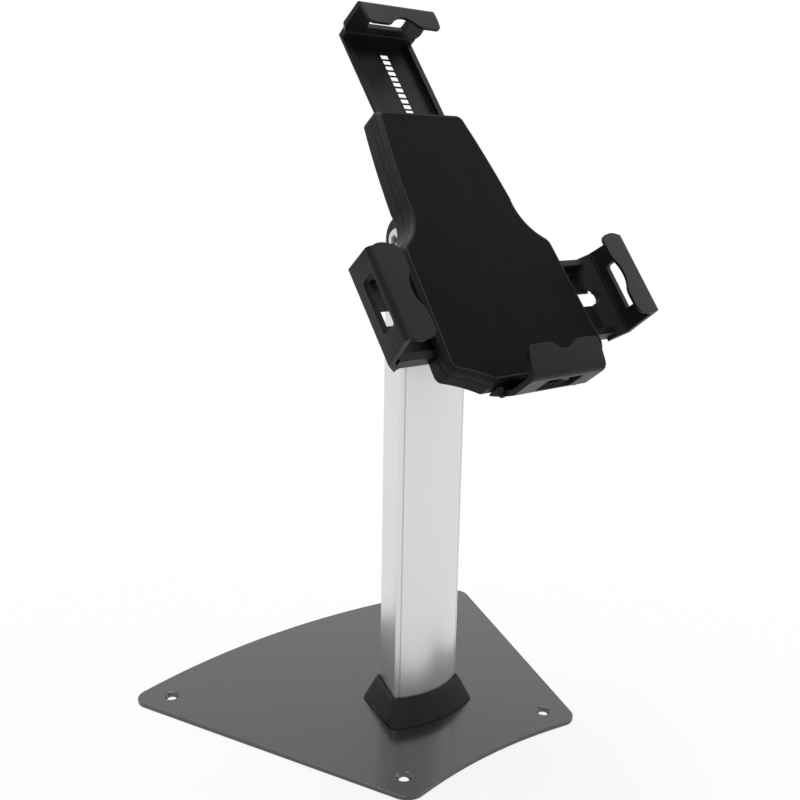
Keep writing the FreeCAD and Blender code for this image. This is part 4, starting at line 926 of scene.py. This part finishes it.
@dataclass
class TiltPivot(SubAssembly):
    """Cast cap with its ears, the bolt, nut and washers, and the knuckle between them."""

    height: float = 293.7
    ear_outer: float = 16.8
    bolt_radius: float = 4.0
    head_radius: float = 7.2
    head_tall: float = 4.6
    socket_flats: float = 5.4
    nut_flats: float = 13.0
    nut_tall: float = 6.5
    washer_thick: float = 1.6
    bore: float = 4.1
    cap_edge: float = 0.9
    knuckle_edge: float = 0.7
    washer_edge: float = 0.2
    head_flat_share: float = 0.56
    head_rim: float = 0.7
    head_steps: int = 8
    socket_deep_share: float = 0.6
    socket_past: float = 1.0
    bolt_past_nut: float = 0.5
    bolt_bevel_long: float = 0.8
    bolt_bevel_deep: float = 0.7
    nut_bevel: float = 0.9
    nut_face_share: float = 0.96
    nut_corner_share: float = 1.16
    bolt_steps: int = 56
    nut_steps: int = 72

    def build(self) -> None:
        """Make the castings from the frame, and turn the bolt and nut."""
        cap = from_frame("column_cap", "cap_cast", self.cap_edge)
        self.fit(cap, "stand", "cast_black", Paint.CAST_PAINT, "column_cap")
        knuckle = from_frame("tilt_knuckle", "knuckle_cast", self.knuckle_edge)
        self.fit(knuckle, "knuckle", "cast_black", Paint.CAST_PAINT, "tilt_knuckle")
        lift = STAND @ Matrix.Translation((0, 0, self.height))
        along = lift @ Matrix.Rotation(math.pi / 2, 4, "Y")
        self.fit(self.bolt(along), "stand", "bright_steel", Paint.ZINC, "tilt_bolt")
        self.fit(self.nut(along), "stand", "bright_steel", Paint.ZINC, "tilt_nut")
        ring = from_frame("nut_washer", "nut_washer_stamped", self.washer_edge, 2)
        self.fit(ring, "stand", "bright_steel", Paint.ZINC, "nut_washer")

    def bolt(self, along: Matrix) -> Object:
        """The button-head bolt, its domed head towards -X, with a hexagon socket.

        Args:
            along: The axes of the pivot, Z along the bolt.

        Returns:
            The bolt.
        """
        seat = -self.ear_outer
        top = seat - self.head_tall
        end = self.ear_outer + self.washer_thick + self.nut_tall + self.bolt_past_nut
        flat = self.head_radius * self.head_flat_share
        dome = []
        for step in range(self.head_steps + 1):
            a = math.radians(90 * step / self.head_steps)
            dome.append((flat + (self.head_radius - flat) * math.sin(a),
                         top + (self.head_tall - self.head_rim) * (1 - math.cos(a))))
        profile = [(0, top), *dome, (self.head_radius, seat), (self.bolt_radius, seat),
                   (self.bolt_radius, end - self.bolt_bevel_long),
                   (self.bolt_radius - self.bolt_bevel_deep, end), (0, end)]
        bolt = from_bmesh("tilt_bolt_turned", lathe(profile, self.bolt_steps), along)
        hexagon = circle(self.socket_flats / math.sqrt(3), 6)
        deep = self.head_tall * self.socket_deep_share
        socket = prism(hexagon, top - self.socket_past, top + deep)
        return crisp(cut(bolt, from_bmesh("socket_tool", socket, along)))

    def nut(self, along: Matrix) -> Object:
        """The hexagon nut, with its corners turned down at both faces.

        Args:
            along: The axes of the pivot, Z along the bolt.

        Returns:
            The nut.
        """
        low = self.ear_outer + self.washer_thick
        high = low + self.nut_tall
        steps = self.nut_steps
        work = bmesh.new()
        half = self.nut_flats / 2
        rings = []
        for height, share in (
            (low, self.nut_face_share), (low + self.nut_bevel, self.nut_corner_share),
            (high - self.nut_bevel, self.nut_corner_share), (high, self.nut_face_share),
        ):
            ring = []
            for step in range(steps):
                a = math.tau * step / steps
                off = (a + math.pi / 6) % (math.pi / 3) - math.pi / 6
                radius = min(half / math.cos(off), half * share)
                ring.append(work.verts.new((radius * math.cos(a), radius * math.sin(a), height)))
            rings.append(ring)
        for height in (high, low):
            rings.append([work.verts.new((x, y, height)) for x, y in circle(self.bore, steps)])
        for first, last in zip(rings, rings[1:] + rings[:1]):
            for step in range(steps):
                after = (step + 1) % steps
                work.faces.new((first[step], first[after], last[after], last[step]))
        return crisp(from_bmesh("tilt_nut_turned", work, along))

    def dress(self) -> None:
        """Paint the washers and the hidden retainer."""
        self.paint_nodes(Paint.WHITE_NYLON, "tilt_washers", "swivel_washer")
        self.paint_nodes(Paint.ZINC, "swivel_retainer", "retainer_screws")


# The holder


@dataclass
class Housing(SubAssembly):
    """Both shells and the rubber pad let into the front one."""

    shell_edge: float = 0.7
    pad_edge: float = 0.5

    def build(self) -> None:
        """Round the shells' mould edges and the pad's rim."""
        for node, name in (("front_housing", "front_shell"), ("rear_housing", "rear_shell")):
            shell = from_frame(node, name, self.shell_edge)
            self.fit(shell, "holder", "shell_black", Paint.SHELL_ABS, node)
        sheet = from_frame("front_pad", "front_pad_sheet", self.pad_edge)
        self.fit(sheet, "holder", "pad_rubber", Paint.PAD_RUBBER, "front_pad")


def rib_tree() -> Grower:
    """The tree that lays a row of half-round ribs across a strip and joins them to it."""
    grower = Grower("rib_row", {
        "Count": "NodeSocketInt", "Start": "NodeSocketVector", "Step": "NodeSocketVector",
        "Rib Radius": "NodeSocketFloat", "Rib Long": "NodeSocketFloat",
    })
    row = grower.add(
        "GeometryNodeMeshLine",
        {"mode": "OFFSET"},
        links={"Count": grower.given("Count"), "Start Location": grower.given("Start"),
               "Offset": grower.given("Step")},
    )
    rod = grower.add(
        "GeometryNodeMeshCylinder",
        values={"Vertices": 16},
        links={"Radius": grower.given("Rib Radius"), "Depth": grower.given("Rib Long")},
    )
    rib = grower.add("GeometryNodeTransform", values={"Rotation": (math.pi / 2, 0, 0)},
                     links={"Geometry": rod.outputs["Mesh"]})
    copies = grower.add("GeometryNodeInstanceOnPoints",
                        links={"Points": row.outputs[0], "Instance": rib.outputs[0]})
    both = grower.add("GeometryNodeJoinGeometry", links={"Geometry": copies.outputs[0]})
    grower.tree.links.new(grower.given("Geometry"), both.inputs["Geometry"])
    grower.end(both.outputs[0])
    return grower


@dataclass(frozen=True)
class RibRow:
    """Half-round ribs across the gripping face of a rubber strip."""

    pitch: float = 1.5
    radius: float = 0.5
    sunk: float = 0.5
    inset: float = 0.5
    face_band: float = 0.2

    def gripping_axes(self, strip: Object, along: Vector) -> Matrix:
        """Axes of the strip's gripping face, the widest one that looks back at the tablet.

        Args:
            strip: The strip, in metres.
            along: The way that the row runs.

        Returns:
            A turn with its X along the row and its Z out of the face.
        """
        out = HOLDER.matrix().to_3x3() @ Vector((0, 0, -1))
        facing = [face for face in strip.data.polygons if face.normal.dot(out) > 0]
        normal = max(facing, key=lambda face: face.area).normal.copy()
        across = normal.cross(along).normalized()
        return Matrix((across.cross(normal), across, normal)).transposed().to_4x4()

    def grow(self, grower: Grower, strip: Object, along: Vector, rubber: Material) -> Object:
        """Lower the gripping face and set the ribs on it, up to where it was.

        Args:
            grower: The rib tree.
            strip: The strip, in metres.
            along: The way that the row runs.
            rubber: The strip's material.

        Returns:
            The ribbed strip.
        """
        turn = self.gripping_axes(strip, along)
        strip.data.transform(turn.inverted())
        spots = [vertex.co for vertex in strip.data.vertices]
        top = max(spot.z for spot in spots)
        face = [spot for spot in spots if spot.z > top - self.face_band * MM]
        low_x, high_x = min(s.x for s in face), max(s.x for s in face)
        low_y, high_y = min(s.y for s in face), max(s.y for s in face)
        for spot in face:
            spot.z -= self.sunk * MM
        room = high_x - low_x - 2 * self.inset * MM
        count = int((room - 2 * self.radius * MM) / (self.pitch * MM)) + 1
        first = (low_x + high_x) / 2 - (count - 1) * self.pitch * MM / 2
        ribbed = grower.grow(strip, rubber, {
            "Count": count,
            "Start": (first, (low_y + high_y) / 2, top - self.radius * MM),
            "Step": (self.pitch * MM, 0.0, 0.0),
            "Rib Radius": self.radius * MM,
            "Rib Long": high_y - low_y - 2 * self.inset * MM,
        })
        ribbed.data.transform(turn)
        return crisp(ribbed)


@dataclass
class Arms(SubAssembly):
    """The four jaws with their rails, and the ribbed strips under their lips."""

    strip_edge: float = 0.15

    def build(self) -> None:
        """Copy the moulded arms, whose edges their finish eases, and rib the strips."""
        for node, name, body in (
            ("top_arm", "top_arm_moulded", "top_slider"),
            ("right_arm", "right_arm_moulded", "right_slider"),
            ("left_arm", "left_arm_moulded", "left_slider"),
            ("bottom_jaw", "bottom_jaw_moulded", "holder"),
        ):
            arm = from_frame(node, name, 0)
            self.fit(arm, body, "jaw_black", Paint.SATIN_NYLON, node)
        holder = HOLDER.matrix().to_3x3().normalized()
        side_way, up_way = holder.col[0], holder.col[1]
        rubber = self.wardrobe.get(Paint.GRIP_RUBBER)
        grower = rib_tree()
        for node, body, along in (
            ("top_jaw_pad", "top_slider", side_way),
            ("right_jaw_pad", "right_slider", up_way),
            ("left_jaw_pad", "left_slider", up_way),
            ("bottom_jaw_pad", "holder", side_way),
        ):
            strip = from_frame(node, f"{node}_strip", self.strip_edge, 2)
            ribbed = RibRow().grow(grower, strip, along, rubber)
            self.fit(ribbed, body, "grip_rubber", None, node)


@dataclass
class Works(SubAssembly):
    """Pinion and rivet of the side arms' drive, and the key lock with its pawl."""

    barrel_edge: float = 0.5
    plug_edge: float = 0.25

    def build(self) -> None:
        """Round the lock's turned barrel and plug."""
        barrel = from_frame("lock_barrel", "lock_barrel_turned", self.barrel_edge)
        self.fit(barrel, "holder", "bright_steel", Paint.ZINC, "lock_barrel")
        plug = from_frame("lock_plug", "lock_plug_turned", self.plug_edge, 2)
        self.fit(plug, "lock_core", "bright_steel", Paint.ZINC, "lock_plug")

    def dress(self) -> None:
        """Paint the gear, its rivet and the pawl."""
        self.paint_nodes(Paint.ACETAL, "pinion")
        self.paint_nodes(Paint.ZINC, "pinion_axle", "pawl")


# The studio


def rays_of(tree: NodeTree, *kinds: str) -> NodeSocket:
    """One for rays of these kinds, and zero for the others.

    Args:
        tree: The tree of a material or of the world.
        kinds: Outputs of the light path node.

    Returns:
        The socket.
    """
    rays = add_node(tree, "ShaderNodeLightPath")
    socket = rays.outputs[kinds[0]]
    for kind in kinds[1:]:
        socket = add_node(tree, "ShaderNodeMath", {"operation": "MAXIMUM"},
                          links={0: socket, 1: rays.outputs[kind]}).outputs[0]
    return socket


@dataclass
class Studio:
    """White table and backdrop, soft lamps, and the camera at the photograph's view."""

    eye: tuple[float, float, float] = (-372.5, -436.3, 332.5)
    yaw: float = 39.32
    pitch: float = 13.11
    roll: float = -1.039
    lens: float = 44.6
    sky: float = 0.3
    key_place: tuple[float, float, float] = (0.1, 0.25, 1.7)
    key_power: float = 24.0
    fill_place: tuple[float, float, float] = (1.3, -0.4, 0.9)
    fill_power: float = 2.5
    lamp_size: float = 1.2
    aim: tuple[float, float, float] = (0.0, 0.0, 0.2)
    table: str = "#f4f4f4"
    table_radius: float = 8000.0
    shadow_reach: tuple[float, float] = (0.15, 0.5)
    shadow_share: float = 0.8

    def build(self) -> None:
        """Set the camera, the sky, the lamps and the table."""
        self.camera()
        self.world()
        self.lamp("key", self.key_place, self.key_power)
        self.lamp("fill", self.fill_place, self.fill_power)
        self.floor()

    def camera(self) -> None:
        """Place the camera as it stood for the photograph."""
        data = bpy.data.cameras.new("photo_camera")
        data.lens = self.lens
        data.sensor_width = 36.0
        data.sensor_fit = "HORIZONTAL"
        data.clip_start, data.clip_end = 0.02, 60.0
        camera = link("photo_camera", data)
        yaw, pitch, roll = (math.radians(angle) for angle in (self.yaw, self.pitch, self.roll))
        ahead = Vector((math.sin(yaw) * math.cos(pitch), math.cos(yaw) * math.cos(pitch),
                        -math.sin(pitch)))
        right = Vector((math.cos(yaw), -math.sin(yaw), 0))
        down = ahead.cross(right)
        turned_right = math.cos(roll) * right + math.sin(roll) * down
        turned_down = -math.sin(roll) * right + math.cos(roll) * down
        turn = Matrix((turned_right, -turned_down, -ahead)).transposed()
        camera.matrix_world = Matrix.Translation(Vector(self.eye) * MM) @ turn.to_4x4()
        bpy.context.scene.camera = camera

    def world(self) -> None:
        """White where the camera, metal or glass sees it, and a plain grey light elsewhere."""
        world = bpy.data.worlds.new("studio")
        bpy.context.scene.world = world
        tree = cleared_tree(world)
        seen = rays_of(tree, "Is Camera Ray", "Is Glossy Ray", "Is Transmission Ray")
        level = add_node(tree, "ShaderNodeMapRange", values={"To Min": self.sky, "To Max": 1.0},
                         links={"Value": seen})
        light = add_node(tree, "ShaderNodeBackground", values={"Color": (1, 1, 1, 1)},
                         links={"Strength": level.outputs["Result"]})
        add_node(tree, "ShaderNodeOutputWorld", links={"Surface": light.outputs[0]})

    def lamp(self, name: str, place: tuple[float, float, float], power: float) -> None:
        """Hang a square soft box that faces the stand.

        Args:
            name: The lamp's name.
            place: Where it hangs, in metres.
            power: Its power, in watts.
        """
        data = bpy.data.lights.new(name, "AREA")
        data.size = self.lamp_size
        data.energy = power
        lamp = link(name, data)
        lamp.location = place
        lamp.rotation_mode = "QUATERNION"
        lamp.rotation_quaternion = (Vector(self.aim) - Vector(place)).to_track_quat("-Z", "Y")

    def floor(self) -> None:
        """Lay the white table, which keeps the stand's shadow and fades to pure white round it."""
        work = bmesh.new()
        bmesh.ops.create_circle(work, cap_ends=True, segments=96, radius=self.table_radius)
        table = from_bmesh("table_top", work, STAND)
        material = bpy.data.materials.new("white_table")
        tree = cleared_tree(material)
        paper = add_node(tree, "ShaderNodeBsdfDiffuse", values={"Color": linear(self.table)})
        glow = add_node(tree, "ShaderNodeEmission", values={"Color": (1, 1, 1, 1), "Strength": 1.0})
        spot = add_node(tree, "ShaderNodeTexCoord").outputs["Object"]
        away = add_node(tree, "ShaderNodeVectorMath", {"operation": "LENGTH"}, links={0: spot})
        near, far = self.shadow_reach
        fade = add_node(tree, "ShaderNodeMapRange",
                        values={"From Min": near, "From Max": far,
                                "To Min": self.shadow_share, "To Max": 1.0},
                        links={"Value": away.outputs["Value"]})
        seen = rays_of(tree, "Is Camera Ray", "Is Glossy Ray")
        share = add_node(tree, "ShaderNodeMath", {"operation": "MULTIPLY"},
                         links={0: fade.outputs["Result"], 1: seen})
        both = add_node(tree, "ShaderNodeMixShader",
                        links={0: share.outputs[0], 1: paper.outputs[0], 2: glow.outputs[0]})
        add_node(tree, "ShaderNodeOutputMaterial", links={"Surface": both.outputs[0]})
        table.data.materials.append(material)
        table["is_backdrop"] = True


def corners() -> list[list[float]]:
    """The shown object's box as plain numbers."""
    return [list(corner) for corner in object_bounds()]


def main() -> None:
    """Build every sub-assembly in order, then the studio."""
    logging.basicConfig(level=logging.INFO, format="%(message)s")
    for leftover in list(bpy.data.objects):
        bpy.data.objects.remove(leftover)
    FRAME.update(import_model())
    wardrobe = Wardrobe()
    for kind in (Foot, Column, TiltPivot, Housing, Arms, Works, Fasteners):
        part = kind(wardrobe)
        part.build()
        part.dress()
        LOG.info("%s done: %d pieces", kind.__name__, len(part.pieces))
    Studio().build()
    bpy.context.scene.view_settings.view_transform = "Standard"


if __name__ == "__main__":
    main()
